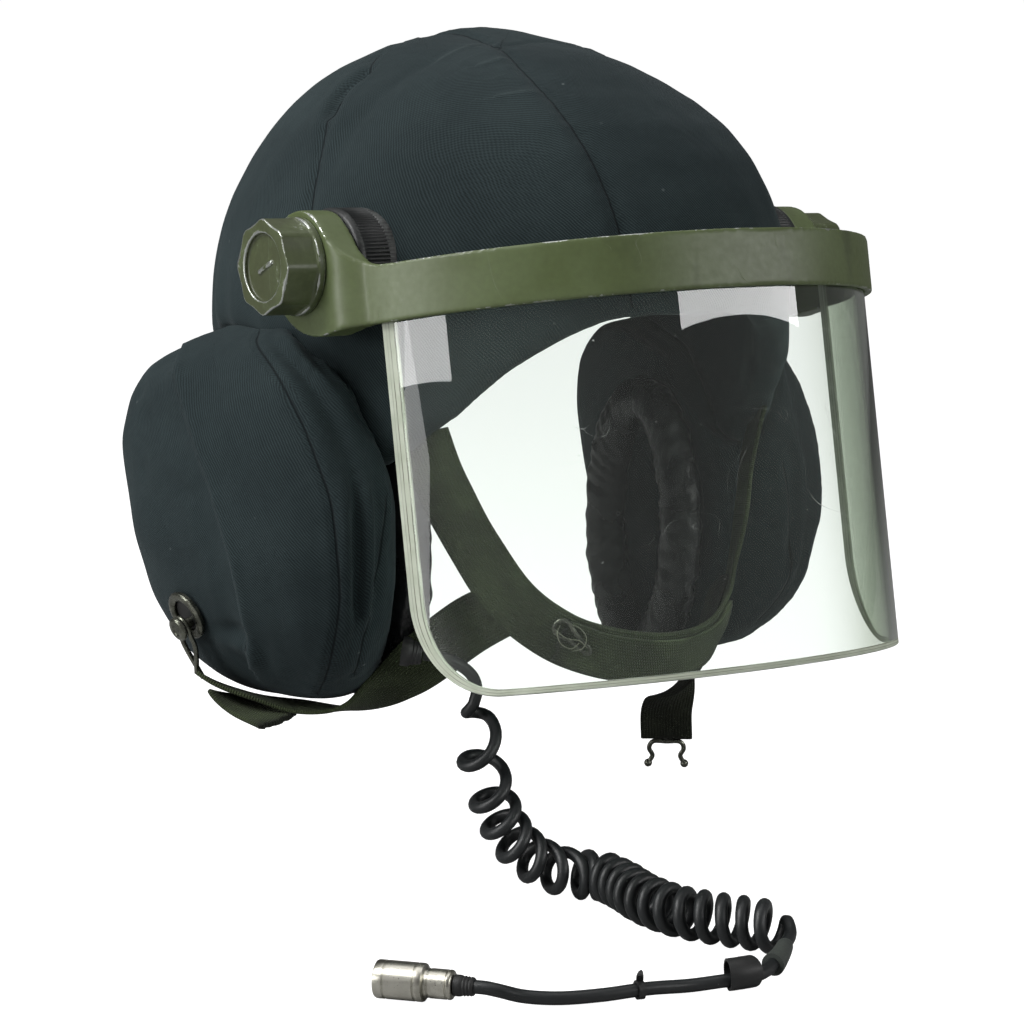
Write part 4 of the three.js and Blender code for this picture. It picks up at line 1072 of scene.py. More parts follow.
rightHook = [
    [-147.8, 56.2, -169.5], [-150.6, 52.5, -157.7], [-152.6, 52.4, -153.1], [-154.1, 52.3, -149.4],
    [-154.9, 52.8, -147.6], [-155.6, 54.2, -146.2], [-155.9, 56.2, -145.7], [-155.8, 58.2, -146.2],
    [-155.3, 59.7, -147.6], [-154.6, 60.3, -149.4], [-153, 60.4, -153.1], [-151.1, 60.5, -157.7],
    [-139.6, 65.4, -173.6],
]
leftHook = [
    [102.5, 37, -237.6], [100.4, 37.5, -233.7], [100.9, 35.8, -230.4], [100.3, 35.6, -228.1],
    [98.8, 36.4, -226.6], [94.3, 40.3, -226.6], [89.7, 44.3, -226.6], [88.8, 45.6, -228.1],
    [88.8, 46.3, -230.3], [90.5, 46, -233.7], [89.7, 48.1, -237.5],
]
chinRing = [
    [-48.1, -59, -142.9], [-46.5, -61, -141.8], [-44.4, -62.6, -142.9], [-43, -63.1, -145.4],
    [-41, -63.8, -148.5], [-38.6, -65.2, -151.4], [-36.5, -66.3, -154.2], [-36.4, -65.8, -155.6],
    [-37.4, -64.8, -155.8], [-39.8, -63.2, -153.6], [-42.4, -61.6, -151], [-45.1, -59.7, -149.2],
    [-47.2, -58.2, -147.8], [-48.5, -57.8, -145.3],
]
wire("hook_right", rightHook, 1.1, "wire_hook_right")
wire("hook_left", leftHook, 1.1, "wire_hook_left")
for name, place in (("hook_ball_outer", leftHook[0]), ("hook_ball_inner", leftHook[-1])):
    turnedBall = turnedMesh(
        [(max(1.9 * math.sin(a), 0.01), -1.9 * math.cos(a)) for a in np.linspace(0.02, math.pi - 0.02, 13)],
        place, [0, 0, 1], 20)
    ball = addObject(name, turnedBall)
wire("chin_ring", chinRing, 0.9, "chin_hook", closed=True)

# Loose pale threads caught round the chin ring
threads = [
    [[-47, -60, -144], [-50, -62, -147], [-49, -63.5, -151], [-45, -65, -153], [-42, -66, -151]],
    [[-45, -62, -143], [-41, -65, -145], [-39, -67, -149], [-41, -67, -153], [-45, -65.5, -154]],
    [[-49, -60, -146], [-46, -63.5, -149], [-42, -66.5, -150], [-39, -67.5, -153]],
]
for i, rows in enumerate(threads):
    thread = wire("loose_thread_" + str(i), rows, 0.18, None)

# Eyelets and hook studs on the ear covers
studLook = [-0.92, -0.05, -0.39]
eyeletPlace = [-152.21, 57.0, -145.0]
studPlace = [-151.04, 56.5, -148.0]
eyeletProfile = [
    (6.9, -1.2), (10.6, -1.2), (10.7, 0.2), (10.3, 0.7), (9.4, 1.05), (8.6, 1.15), (7.8, 1.0), (7.2, 0.7),
    (6.9, 0.3), (6.9, -1.2),
]
studProfile = [
    (0.01, -1.2), (2.2, -1.2), (2.2, 4.9), (4.7, 5.0), (5.2, 5.3), (5.2, 6.0), (4.9, 6.6), (4.2, 7.0),
    (3.2, 7.2), (2.4, 7.2), (2.2, 6.9), (1.9, 6.7), (0.01, 6.6),
]


def ringMesh(profile, place, look, sides=72):
    mesh = turnedMesh(profile[:-1] if profile[0] == profile[-1] else profile, place, look, sides)
    if profile[0] == profile[-1]:
        shape = bmesh.new()
        shape.from_mesh(mesh)
        shape.faces.ensure_lookup_table()
        caps = [face for face in shape.faces if len(face.verts) > 4]
        bmesh.ops.delete(shape, geom=caps, context="FACES_ONLY")
        edges = [edge for edge in shape.edges if edge.is_boundary]
        bmesh.ops.bridge_loops(shape, edges=edges)
        bmesh.ops.recalc_face_normals(shape, faces=shape.faces)
        shape.to_mesh(mesh)
        shape.free()
    return mesh


for side, word in ((-1, "right"), (1, "left")):
    flip = np.array([-side, 1, 1])
    ring = addObject("grommet_" + word, ringMesh(eyeletProfile, np.array(eyeletPlace) * flip,
                                                 np.array(studLook) * flip))
    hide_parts("eyelet_" + word)
    stud = addObject("stud_" + word, turnedMesh(studProfile, np.array(studPlace) * flip,
                                                np.array(studLook) * flip, 48))
    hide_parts("hook_stud_" + word)
    hole = addObject("grommet_hole_" + word, turnedMesh(
        [(0.01, -0.9), (3.0, -0.95), (6.6, -0.7), (6.6, -1.15), (0.01, -1.2)],
        np.array(eyeletPlace) * flip, np.array(studLook) * flip, 48))

# Lead fittings: gland, sleeves, tie, boot and plug
glandWay = [0.77, -0.62, -0.15]
glandProfile = [
    (0.01, -9.0), (6, -9.0), (6, -6.6), (5.7, -5.6), (5.1, -4.8), (5.0, -4.4), (5.2, -4.0), (4.8, -3.4),
    (4.6, -3.0), (4.8, -2.6), (4.5, -2.0), (4.3, -1.6), (4.4, -1.2), (4.1, -0.6), (3.6, -0.45),
    (0.01, -0.45),
]
gland = addObject("lead_gland", turnedMesh(glandProfile, leadRoute[0], glandWay, 40))
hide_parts("cord_gland")


def tubeMesh(line, radii, inner, sides=32, lift=0.0, wobble=0.0, seed=4):
    sidesAt, upsAt = framesAlong(line, np.cross([0, 0, 1], line[1] - line[0]))[1:]
    chance = np.random.default_rng(seed)
    points = []
    for i in list(range(len(line))) + list(range(len(line) - 1, -1, -1)):
        outside = len(points) < len(line) * sides
        for k in range(sides):
            turn = 2 * math.pi * k / sides
            radius = radii[i] if outside else inner
            radius += wobble * math.sin(3 * turn + i * 0.3) + wobble * 0.3 * chance.normal() * outside
            outward = sidesAt[i] * math.cos(turn) + upsAt[i] * math.sin(turn)
            points.append(line[i] + [0, 0, lift] + outward * radius)
    total = 2 * len(line)
    faces = []
    for row in range(total):
        for k in range(sides):
            a, b = row * sides + k, row * sides + (k + 1) % sides
            c, d = (b + sides) % (total * sides), (a + sides) % (total * sides)
            faces.append((a, b, c, d))
    mesh = meshFrom("tube", fromPivot(points), faces)
    shape = bmesh.new()
    shape.from_mesh(mesh)
    bmesh.ops.recalc_face_normals(shape, faces=shape.faces)
    shape.to_mesh(mesh)
    shape.free()
    mesh.set_sharp_from_angle(angle=math.radians(50))
    return mesh


def tailPart(first, last):
    line = evenLine(smoothLine(tailRoute), 0.6)
    along = lengthsAlong(line) / lengthsAlong(line)[-1]
    return line[(along >= first) & (along <= last)]


bendLine = tailPart(0.08, 0.21)
bendRadii = np.interp(np.linspace(0, 1, len(bendLine)), [0, 0.06, 0.5, 0.9, 1], [2.9, 3.2, 3.7, 4.3, 4.4])
bendSleeve = addObject("lead_sleeve", tubeMesh(bendLine, bendRadii, 2.55, wobble=0.03))
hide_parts("bend_sleeve")
openLine = tailPart(0.31, 0.38)
openRadii = np.full(len(openLine), 5.95)
openSleeve = addObject("lead_tube", tubeMesh(openLine, openRadii, 5.05, lift=2.25, wobble=0.05))
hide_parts("tail_sleeve")
tieLine = tailPart(0.59, 0.61)
tieRadii = np.full(len(tieLine), 3.5)
tieBand = tubeMesh(tieLine, tieRadii, 2.6, wobble=0.08)
tieMiddle = tieLine[len(tieLine) // 2]
tieUp = tieMiddle + [0, 0, 3.4]


def pointedStrip(start, way, width, thickness, length, look):
    way = unit(way)
    side = unit(np.cross(way, look))
    look = unit(np.cross(side, way))
    points = []
    for share in np.linspace(0, 1, 9):
        half = width / 2 * (1 - share ** 3 * 0.92)
        middle = np.array(start) + way * length * share + look * (0.9 * math.sin(share * 2.4))
        for w, t in ((1, 1), (1, -1), (-1, -1), (-1, 1)):
            points.append(middle + side * half * w + look * thickness / 2 * t)
    faces = [[0, 1, 2, 3], [35, 34, 33, 32]]
    for row in range(8):
        for k in range(4):
            a, b = row * 4 + k, row * 4 + (k + 1) % 4
            faces.append((a, b, b + 4, a + 4))
    return meshFrom("strip", fromPivot(points), faces, smooth=False)


tieMesh = joined([
    tieBand,
    pointedStrip(tieUp, [-0.5, -0.6, 0.55], 2.6, 0.8, 4.6, [0, 0, 1]),
    pointedStrip(tieUp, [0.6, 0.5, 0.5], 2.6, 0.8, 4.2, [0, 0, 1]),
])
tiePiece = addObject("lead_tie", tieMesh)
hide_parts("cord_tie")

plugWay = [-0.6, 0.8, 0]
bootPlace = [-154.87, -148.64, -252]
plugPlace = [-159.28, -142.76, -252]
bootProfile = [
    (0.01, -0.4), (3.0, -0.4), (3.3, -0.1), (3.5, 0.6), (3.2, 1.2), (3.6, 1.8), (3.3, 2.4), (3.7, 3.0),
    (3.4, 3.6), (3.8, 4.3), (3.9, 5.0), (3.9, 6.9), (3.6, 7.0), (0.01, 7.0),
]
plugProfile = [
    (0.01, 0), (4.6, 0), (5.1, 0.3), (5.4, 0.8), (5.4, 1.5), (5.1, 1.7), (5.1, 2.1), (5.4, 2.3), (5.4, 8.4),
    (5.15, 8.6), (5.15, 9.2), (5.4, 9.4), (5.4, 10.2), (6.2, 10.5), (6.8, 10.8), (7.0, 11.4), (7.0, 13.2),
    (6.7, 13.4), (6.7, 13.9), (7.0, 14.1), (7.0, 24.6), (6.75, 24.8), (6.75, 25.4), (7.0, 25.6), (7.0, 28.3),
    (6.7, 28.9), (6.2, 29.0), (5.8, 28.9), (5.6, 28.4), (5.6, 26.2), (5.2, 26.0), (0.01, 26.0),
]
boot = addObject("lead_boot", turnedMesh(bootProfile, bootPlace, plugWay, 40))
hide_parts("plug_boot")
plug = addObject("lead_plug", turnedMesh(plugProfile, plugPlace, plugWay, 72))
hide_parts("plug")
pins = []
plugSide = unit(np.cross(plugWay, [0, 0, 1]))
pinCircle = 2.9
pinCount = 5
pinBase = np.array(plugPlace) + unit(plugWay) * 26
pinProfile = [(0.01, -0.3), (0.55, -0.3), (0.55, 2.0), (0.4, 2.3), (0.01, 2.4)]
for i in range(pinCount):
    turn = 2 * math.pi * i / pinCount + 0.4
    spot = pinBase + plugSide * pinCircle * math.cos(turn) + np.array([0, 0, pinCircle]) * math.sin(turn)
    pins.append(turnedMesh(pinProfile, spot, plugWay, 14))
pinPiece = addObject("plug_pins", joined(pins))
print("straps, wires and lead fittings done")


# Shader nodes
def addNode(tree, kind, inputs=None, **settings):
    made = tree.nodes.new(kind)
    for key, value in settings.items():
        setattr(made, key, value)
    for key, value in (inputs or {}).items():
        if isinstance(value, bpy.types.NodeSocket):
            tree.links.new(value, made.inputs[key])
        else:
            made.inputs[key].default_value = value
    return made


def calc(tree, operation, first, second=0.0, third=0.0, clamp=False):
    values = {0: first, 1: second}
    if operation in ("MULTIPLY_ADD", "COMPARE", "SMOOTH_MIN", "WRAP"):
        values[2] = third
    made = addNode(tree, "ShaderNodeMath", values, operation=operation, use_clamp=clamp)
    return made.outputs[0]


def ramped(tree, value, low, high, first=0.0, last=1.0, smooth=True):
    kind = "SMOOTHSTEP" if smooth else "LINEAR"
    made = addNode(tree, "ShaderNodeMapRange", {
        "Value": value, "From Min": low, "From Max": high, "To Min": first, "To Max": last,
    }, interpolation_type=kind)
    return made.outputs[0]


def mixed(tree, share, first, second, blend="MIX"):
    made = addNode(tree, "ShaderNodeMix", {0: share, 6: first, 7: second},
                   data_type="RGBA", blend_type=blend)
    return made.outputs[2]


def scaled(tree, place, size):
    made = addNode(tree, "ShaderNodeVectorMath", {0: place, 1: size}, operation="MULTIPLY")
    return made.outputs[0]


def noise(tree, place, size, detail=3.0, roughness=0.5, distortion=0.0):
    made = addNode(tree, "ShaderNodeTexNoise", {
        "Vector": place, "Scale": 1 / size, "Detail": detail, "Roughness": roughness,
        "Distortion": distortion,
    })
    return made.outputs["Fac"]


def newGroup(name, inputs, outputs):
    tree = bpy.data.node_groups.new(name, "ShaderNodeTree")
    for label, kind, value in inputs:
        socket = tree.interface.new_socket(label, in_out="INPUT", socket_type="NodeSocket" + kind)
        if value is not None:
            socket.default_value = value
    for label, kind in outputs:
        tree.interface.new_socket(label, in_out="OUTPUT", socket_type="NodeSocket" + kind)
    start = tree.nodes.new("NodeGroupInput")
    end = tree.nodes.new("NodeGroupOutput")
    return tree, start, end


def useGroup(tree, group, inputs=None):
    made = tree.nodes.new("ShaderNodeGroup")
    made.node_tree = group
    for key, value in (inputs or {}).items():
        if isinstance(value, bpy.types.NodeSocket):
            tree.links.new(value, made.inputs[key])
        else:
            made.inputs[key].default_value = value
    return made


# Twill: fine slanting ribs laid from three sides, each where the skin faces it
def makeTwill():
    tree, start, end = newGroup("twill_weave", [
        ("Place", "Vector", None), ("Facing", "Vector", None), ("Spacing", "Float", 0.0011),
    ], [("Height", "Float"), ("Rib", "Float")])
    wobble = calc(tree, "MULTIPLY", noise(tree, start.outputs["Place"], 0.012, 2), 0.0022)
    facing = addNode(tree, "ShaderNodeSeparateXYZ", {0: start.outputs["Facing"]})
    total = None
    weights = None
    for axis, ways in enumerate(([0, 1, -0.8], [1, 0, 0.8], [1, 1, 0])):
        along = addNode(tree, "ShaderNodeVectorMath", {0: start.outputs["Place"], 1: ways},
                        operation="DOT_PRODUCT").outputs["Value"]
        crossing = [[0, 0.5, 1], [0.5, 0, -1], [1, -1, 0]][axis]
        across = addNode(tree, "ShaderNodeVectorMath", {0: start.outputs["Place"], 1: crossing},
                         operation="DOT_PRODUCT").outputs["Value"]
        turns = calc(tree, "DIVIDE", calc(tree, "ADD", along, wobble), start.outputs["Spacing"])
        rib = calc(tree, "SINE", calc(tree, "MULTIPLY", turns, 2 * math.pi))
        threads = calc(tree, "DIVIDE", across, calc(tree, "MULTIPLY", start.outputs["Spacing"], 0.62))
        thread = calc(tree, "SINE", calc(tree, "MULTIPLY", threads, 2 * math.pi))
        woven = calc(tree, "MULTIPLY_ADD", thread, 0.3, calc(tree, "MULTIPLY", rib, 0.7))
        weight = calc(tree, "POWER", calc(tree, "ABSOLUTE", facing.outputs[axis]), 5.0)
        part = calc(tree, "MULTIPLY", woven, weight)
        total = part if total is None else calc(tree, "ADD", total, part)
        weights = weight if weights is None else calc(tree, "ADD", weights, weight)
    woven = calc(tree, "DIVIDE", total, calc(tree, "MAXIMUM", weights, 0.05))
    height = calc(tree, "MULTIPLY_ADD", woven, 0.5, 0.5)
    tree.links.new(height, end.inputs["Height"])
    tree.links.new(ramped(tree, woven, -0.7, 0.7), end.inputs["Rib"])
    return tree


# Mottling: slow changes of shade, a finer grain, and pale lint and dust specks
def makeMottling():
    tree, start, end = newGroup("mottling", [
        ("Place", "Vector", None), ("Size", "Float", 0.05), ("Speck Size", "Float", 0.0035),
    ], [("Shade", "Float"), ("Grain", "Float"), ("Specks", "Float")])
    place = start.outputs["Place"]
    inverse = calc(tree, "DIVIDE", 1.0, start.outputs["Size"])
    broad = addNode(tree, "ShaderNodeTexNoise", {"Vector": place, "Scale": inverse, "Detail": 4.0})
    fine = calc(tree, "MULTIPLY", inverse, 14.0)
    grain = addNode(tree, "ShaderNodeTexNoise", {"Vector": place, "Scale": fine, "Detail": 3.0})
    cells = addNode(tree, "ShaderNodeTexVoronoi", {
        "Vector": place, "Scale": calc(tree, "DIVIDE", 1.0, start.outputs["Speck Size"]), "Randomness": 1.0,
    })
    dot = ramped(tree, cells.outputs["Distance"], 0.05, 0.16, 1.0, 0.0)
    chosen = addNode(tree, "ShaderNodeSeparateColor", {0: cells.outputs["Color"]})
    rare = ramped(tree, chosen.outputs[0], 0.955, 0.985)
    tree.links.new(ramped(tree, broad.outputs["Fac"], 0.3, 0.7), end.inputs["Shade"])
    tree.links.new(grain.outputs["Fac"], end.inputs["Grain"])
    tree.links.new(calc(tree, "MULTIPLY", dot, rare), end.inputs["Specks"])
    return tree


# Worn edges: bare where the skin turns sharply, broken up by noise, and a few chips on the flats
def makeWear():
    tree, start, end = newGroup("worn_edges", [
        ("Place", "Vector", None), ("Edge", "Float", 0.0), ("Amount", "Float", 0.5),
    ], [("Bare", "Float"), ("Rubbed", "Float")])
    place = start.outputs["Place"]
    broad = noise(tree, place, 0.012, 3)
    fine = noise(tree, place, 0.0022, 5, 0.65)
    rough = calc(tree, "MULTIPLY_ADD", fine, 1.1, calc(tree, "MULTIPLY_ADD", broad, 1.4, -0.68))
    reach = calc(tree, "ADD", calc(tree, "MULTIPLY", start.outputs["Edge"], 0.8), rough)
    limit = calc(tree, "SUBTRACT", 1.35, calc(tree, "MULTIPLY", start.outputs["Amount"], 0.6))
    over = calc(tree, "SUBTRACT", reach, limit)
    tree.links.new(ramped(tree, over, 0.0, 0.06), end.inputs["Bare"])
    tree.links.new(ramped(tree, over, -0.3, 0.1), end.inputs["Rubbed"])
    return tree


# Hair scratches: thin bent lines where noise crosses its middle, shown only in patches
def makeScratches():
    tree, start, end = newGroup("hair_scratches", [
        ("Place", "Vector", None), ("Size", "Float", 0.02), ("Width", "Float", 0.004),
    ], [("Scratch", "Float")])
    total = None
    for i, stretch in enumerate(([1.0, 0.35, 2.2], [2.4, 1.0, 0.3], [0.4, 2.0, 1.3])):
        place = scaled(tree, start.outputs["Place"], stretch)
        offset = [i * 3.7, i * 1.3, i * 5.1]
        moved = addNode(tree, "ShaderNodeVectorMath", {0: place, 1: offset}, operation="ADD")
        inverse = calc(tree, "DIVIDE", 1.0, start.outputs["Size"])
        field = addNode(tree, "ShaderNodeTexNoise", {
            "Vector": moved.outputs[0], "Scale": inverse, "Detail": 1.0})
        patch = addNode(tree, "ShaderNodeTexNoise", {
            "Vector": moved.outputs[0], "Scale": calc(tree, "MULTIPLY", inverse, 1.7), "Detail": 2.0})
        off = calc(tree, "ABSOLUTE", calc(tree, "SUBTRACT", field.outputs["Fac"], 0.5))
        near = calc(tree, "SUBTRACT", 1.0, calc(tree, "DIVIDE", off, start.outputs["Width"]), clamp=True)
        part = calc(tree, "MULTIPLY", near, ramped(tree, patch.outputs["Fac"], 0.57, 0.66))
        total = part if total is None else calc(tree, "MAXIMUM", total, part)
    tree.links.new(total, end.inputs["Scratch"])
    return tree


twillGroup = makeTwill()
mottlingGroup = makeMottling()
wearGroup = makeWear()
scratchGroup = makeScratches()


def newMaterial(name):
    material = bpy.data.materials.new(name)
    material.use_nodes = True
    tree = material.node_tree
    shader = tree.nodes["Principled BSDF"]
    place = addNode(tree, "ShaderNodeTexCoord")
    return material, tree, shader, place


def attributeValue(tree, name):
    return addNode(tree, "ShaderNodeAttribute", attribute_name=name).outputs["Fac"]


def bumped(tree, shader, height, strength, distance):
    bump = addNode(tree, "ShaderNodeBump", {"Height": height, "Strength": strength, "Distance": distance})
    tree.links.new(bump.outputs[0], shader.inputs["Normal"])
    return bump


def color(red, green, blue):
    return (red, green, blue, 1.0)


clothLook = {
    "dark": color(0.013, 0.021, 0.023), "light": color(0.026, 0.039, 0.041), "lint": color(0.2, 0.23, 0.23),
    "seam": color(0.004, 0.006, 0.007), "worn": color(0.06, 0.078, 0.078), "spacing": 0.00125,
}


def makeCloth():
    material, tree, shader, place = newMaterial("cloth")
    here = place.outputs["Object"]
    twill = useGroup(tree, twillGroup, {
        "Place": here, "Facing": place.outputs["Normal"], "Spacing": clothLook["spacing"]})
    mottle = useGroup(tree, mottlingGroup, {"Place": here, "Size": 0.06, "Speck Size": 0.006})
    shade = calc(tree, "MULTIPLY_ADD", mottle.outputs["Shade"], 0.55,
                 calc(tree, "MULTIPLY", mottle.outputs["Grain"], 0.45))
    base = mixed(tree, shade, clothLook["dark"], clothLook["light"])
    ribs = ramped(tree, twill.outputs["Rib"], 0.0, 1.0, 0.5, 1.25, smooth=False)
    base = mixed(tree, 1.0, base, ribs, "MULTIPLY")
    seam = calc(tree, "ABSOLUTE", attributeValue(tree, "seam"))
    crease = calc(tree, "ABSOLUTE", attributeValue(tree, "crease"))
    streak = calc(tree, "MULTIPLY", ramped(tree, crease, 0.2, 1.6, 1.0, 0.0), noise(tree, here, 0.006, 3))
    base = mixed(tree, calc(tree, "MULTIPLY", streak, 0.55), base, clothLook["worn"])
    base = mixed(tree, ramped(tree, seam, 0.15, 0.75, 0.8, 0.0), base, clothLook["seam"])
    lint = calc(tree, "MULTIPLY", mottle.outputs["Specks"], 0.4)
    base = mixed(tree, lint, base, clothLook["lint"])
    tree.links.new(base, shader.inputs["Base Color"])
    shader.inputs["Roughness"].default_value = 0.88
    shader.inputs["Specular IOR Level"].default_value = 0.15
    shader.inputs["Sheen Weight"].default_value = 0.05
    shader.inputs["Sheen Roughness"].default_value = 0.45
    shader.inputs["Sheen Tint"].default_value = color(0.75, 0.85, 0.9)
    fold = calc(tree, "MULTIPLY", noise(tree, here, 0.009, 4), 0.9)
    height = calc(tree, "MULTIPLY_ADD", twill.outputs["Height"], 0.35, fold)
    height = calc(tree, "SUBTRACT", height, ramped(tree, seam, 0.1, 0.8, 1.2, 0.0))
    fromStitch = calc(tree, "ABSOLUTE", calc(tree, "SUBTRACT", seam, 2.4))
    stitched = calc(tree, "MULTIPLY", ramped(tree, fromStitch, 0.1, 0.6, 1.0, 0.0),
                    ramped(tree, noise(tree, here, 0.0024, 1), 0.45, 0.55))
    height = calc(tree, "SUBTRACT", height, calc(tree, "MULTIPLY", stitched, 0.3))
    bumped(tree, shader, height, 0.6, 0.0006)
    return material


vinylLook = {"base": color(0.006, 0.006, 0.007), "dust": color(0.06, 0.062, 0.06)}


def makeVinyl():
    material, tree, shader, place = newMaterial("vinyl")
    here = place.outputs["Object"]
    mottle = useGroup(tree, mottlingGroup, {"Place": here, "Size": 0.03, "Speck Size": 0.004})
    dust = calc(tree, "MULTIPLY", mottle.outputs["Grain"], 0.12)
    base = mixed(tree, dust, vinylLook["base"], vinylLook["dust"])
    tree.links.new(base, shader.inputs["Base Color"])
    rough = calc(tree, "MULTIPLY_ADD", mottle.outputs["Shade"], 0.16, 0.2)
    tree.links.new(rough, shader.inputs["Roughness"])
    wrinkles = noise(tree, here, 0.005, 4, 0.55, 0.6)
    pores = addNode(tree, "ShaderNodeTexVoronoi", {"Vector": here, "Scale": 1500.0}).outputs["Distance"]
    height = calc(tree, "MULTIPLY_ADD", pores, 0.12, wrinkles)
    bumped(tree, shader, height, 0.5, 0.0012)
    return material


paintLook = {
    "base": color(0.08, 0.106, 0.034), "deep": color(0.03, 0.039, 0.012), "faded": color(0.135, 0.175, 0.08),
    "metal": color(0.42, 0.44, 0.41), "grime": color(0.012, 0.014, 0.009), "knob": color(0.05, 0.058, 0.024),
}


def makePaint(name, wear, darkness, paint):
    material, tree, shader, place = newMaterial(name)
    here = place.outputs["Object"]
    edge = attributeValue(tree, "edge")
    mottle = useGroup(tree, mottlingGroup, {"Place": here, "Size": 0.035, "Speck Size": 0.003})
    worn = useGroup(tree, wearGroup, {"Place": here, "Edge": edge, "Amount": wear})
    scratch = useGroup(tree, scratchGroup, {"Place": here, "Size": 0.045, "Width": 0.0011})
    base = mixed(tree, calc(tree, "MULTIPLY", mottle.outputs["Shade"], 0.6), paint, paintLook["faded"])
    base = mixed(tree, calc(tree, "MULTIPLY", mottle.outputs["Grain"], darkness), base, paintLook["deep"])
    stain = ramped(tree, noise(tree, scaled(tree, here, [1, 1, 0.4]), 0.02, 5), 0.55, 0.75)
    base = mixed(tree, calc(tree, "MULTIPLY", stain, 0.35), base, paintLook["grime"])
    base = mixed(tree, calc(tree, "MULTIPLY", scratch.outputs["Scratch"], 0.3), base, paintLook["faded"])
    base = mixed(tree, calc(tree, "MULTIPLY", worn.outputs["Rubbed"], 0.3), base, paintLook["faded"])
    base = mixed(tree, worn.outputs["Bare"], base, paintLook["metal"])
    tree.links.new(base, shader.inputs["Base Color"])
    tree.links.new(calc(tree, "MULTIPLY", worn.outputs["Bare"], 0.9), shader.inputs["Metallic"])
    rough = calc(tree, "MULTIPLY_ADD", mottle.outputs["Grain"], 0.16, 0.34)
    tree.links.new(calc(tree, "SUBTRACT", rough, calc(tree, "MULTIPLY", worn.outputs["Bare"], 0.1)),
                   shader.inputs["Roughness"])
    height = calc(tree, "SUBTRACT", calc(tree, "MULTIPLY", noise(tree, here, 0.0016, 3), 0.35),
                  calc(tree, "ADD", worn.outputs["Bare"], scratch.outputs["Scratch"]))
    bumped(tree, shader, height, 0.3, 0.0003)
    return material


shieldLook = {
    "tint": color(0.84, 0.895, 0.85), "limb": color(0.42, 0.48, 0.38), "frost": color(0.36, 0.4, 0.31),
    "frostLight": color(0.64, 0.67, 0.58), "line": color(0.05, 0.042, 0.022),
}


# The frosted strip round the sheet, with the fine dark lines that run along it
def makeFrostStrip():
    tree, start, end = newGroup("frost_strip", [
        ("Place", "Vector", None), ("Rim", "Float", 0.0), ("Frost", "Color", None), ("Light", "Color", None),
        ("Line", "Color", None),
    ], [("Color", "Color"), ("Share", "Float")])
    place = start.outputs["Place"]
    rim = calc(tree, "MULTIPLY_ADD", noise(tree, place, 0.009, 2), 0.08,
               calc(tree, "SUBTRACT", start.outputs["Rim"], 0.04))
    base = mixed(tree, noise(tree, place, 0.006, 4), start.outputs["Frost"], start.outputs["Light"])
    for middle, width, strength in ((0.97, 0.06, 0.8), (0.55, 0.05, 0.75), (0.3, 0.035, 0.4)):
        off = calc(tree, "ABSOLUTE", calc(tree, "SUBTRACT", rim, middle))
        broken = ramped(tree, noise(tree, place, 0.012, 3), 0.35, 0.55, 0.35, 1.0)
        share = calc(tree, "MULTIPLY", ramped(tree, off, width * 0.4, width, strength, 0.0), broken)
        base = mixed(tree, share, base, start.outputs["Line"])
    tree.links.new(base, end.inputs["Color"])
    tree.links.new(ramped(tree, rim, 0.98, 1.06, 1.0, 0.0), end.inputs["Share"])
    return tree


frostGroup = makeFrostStrip()


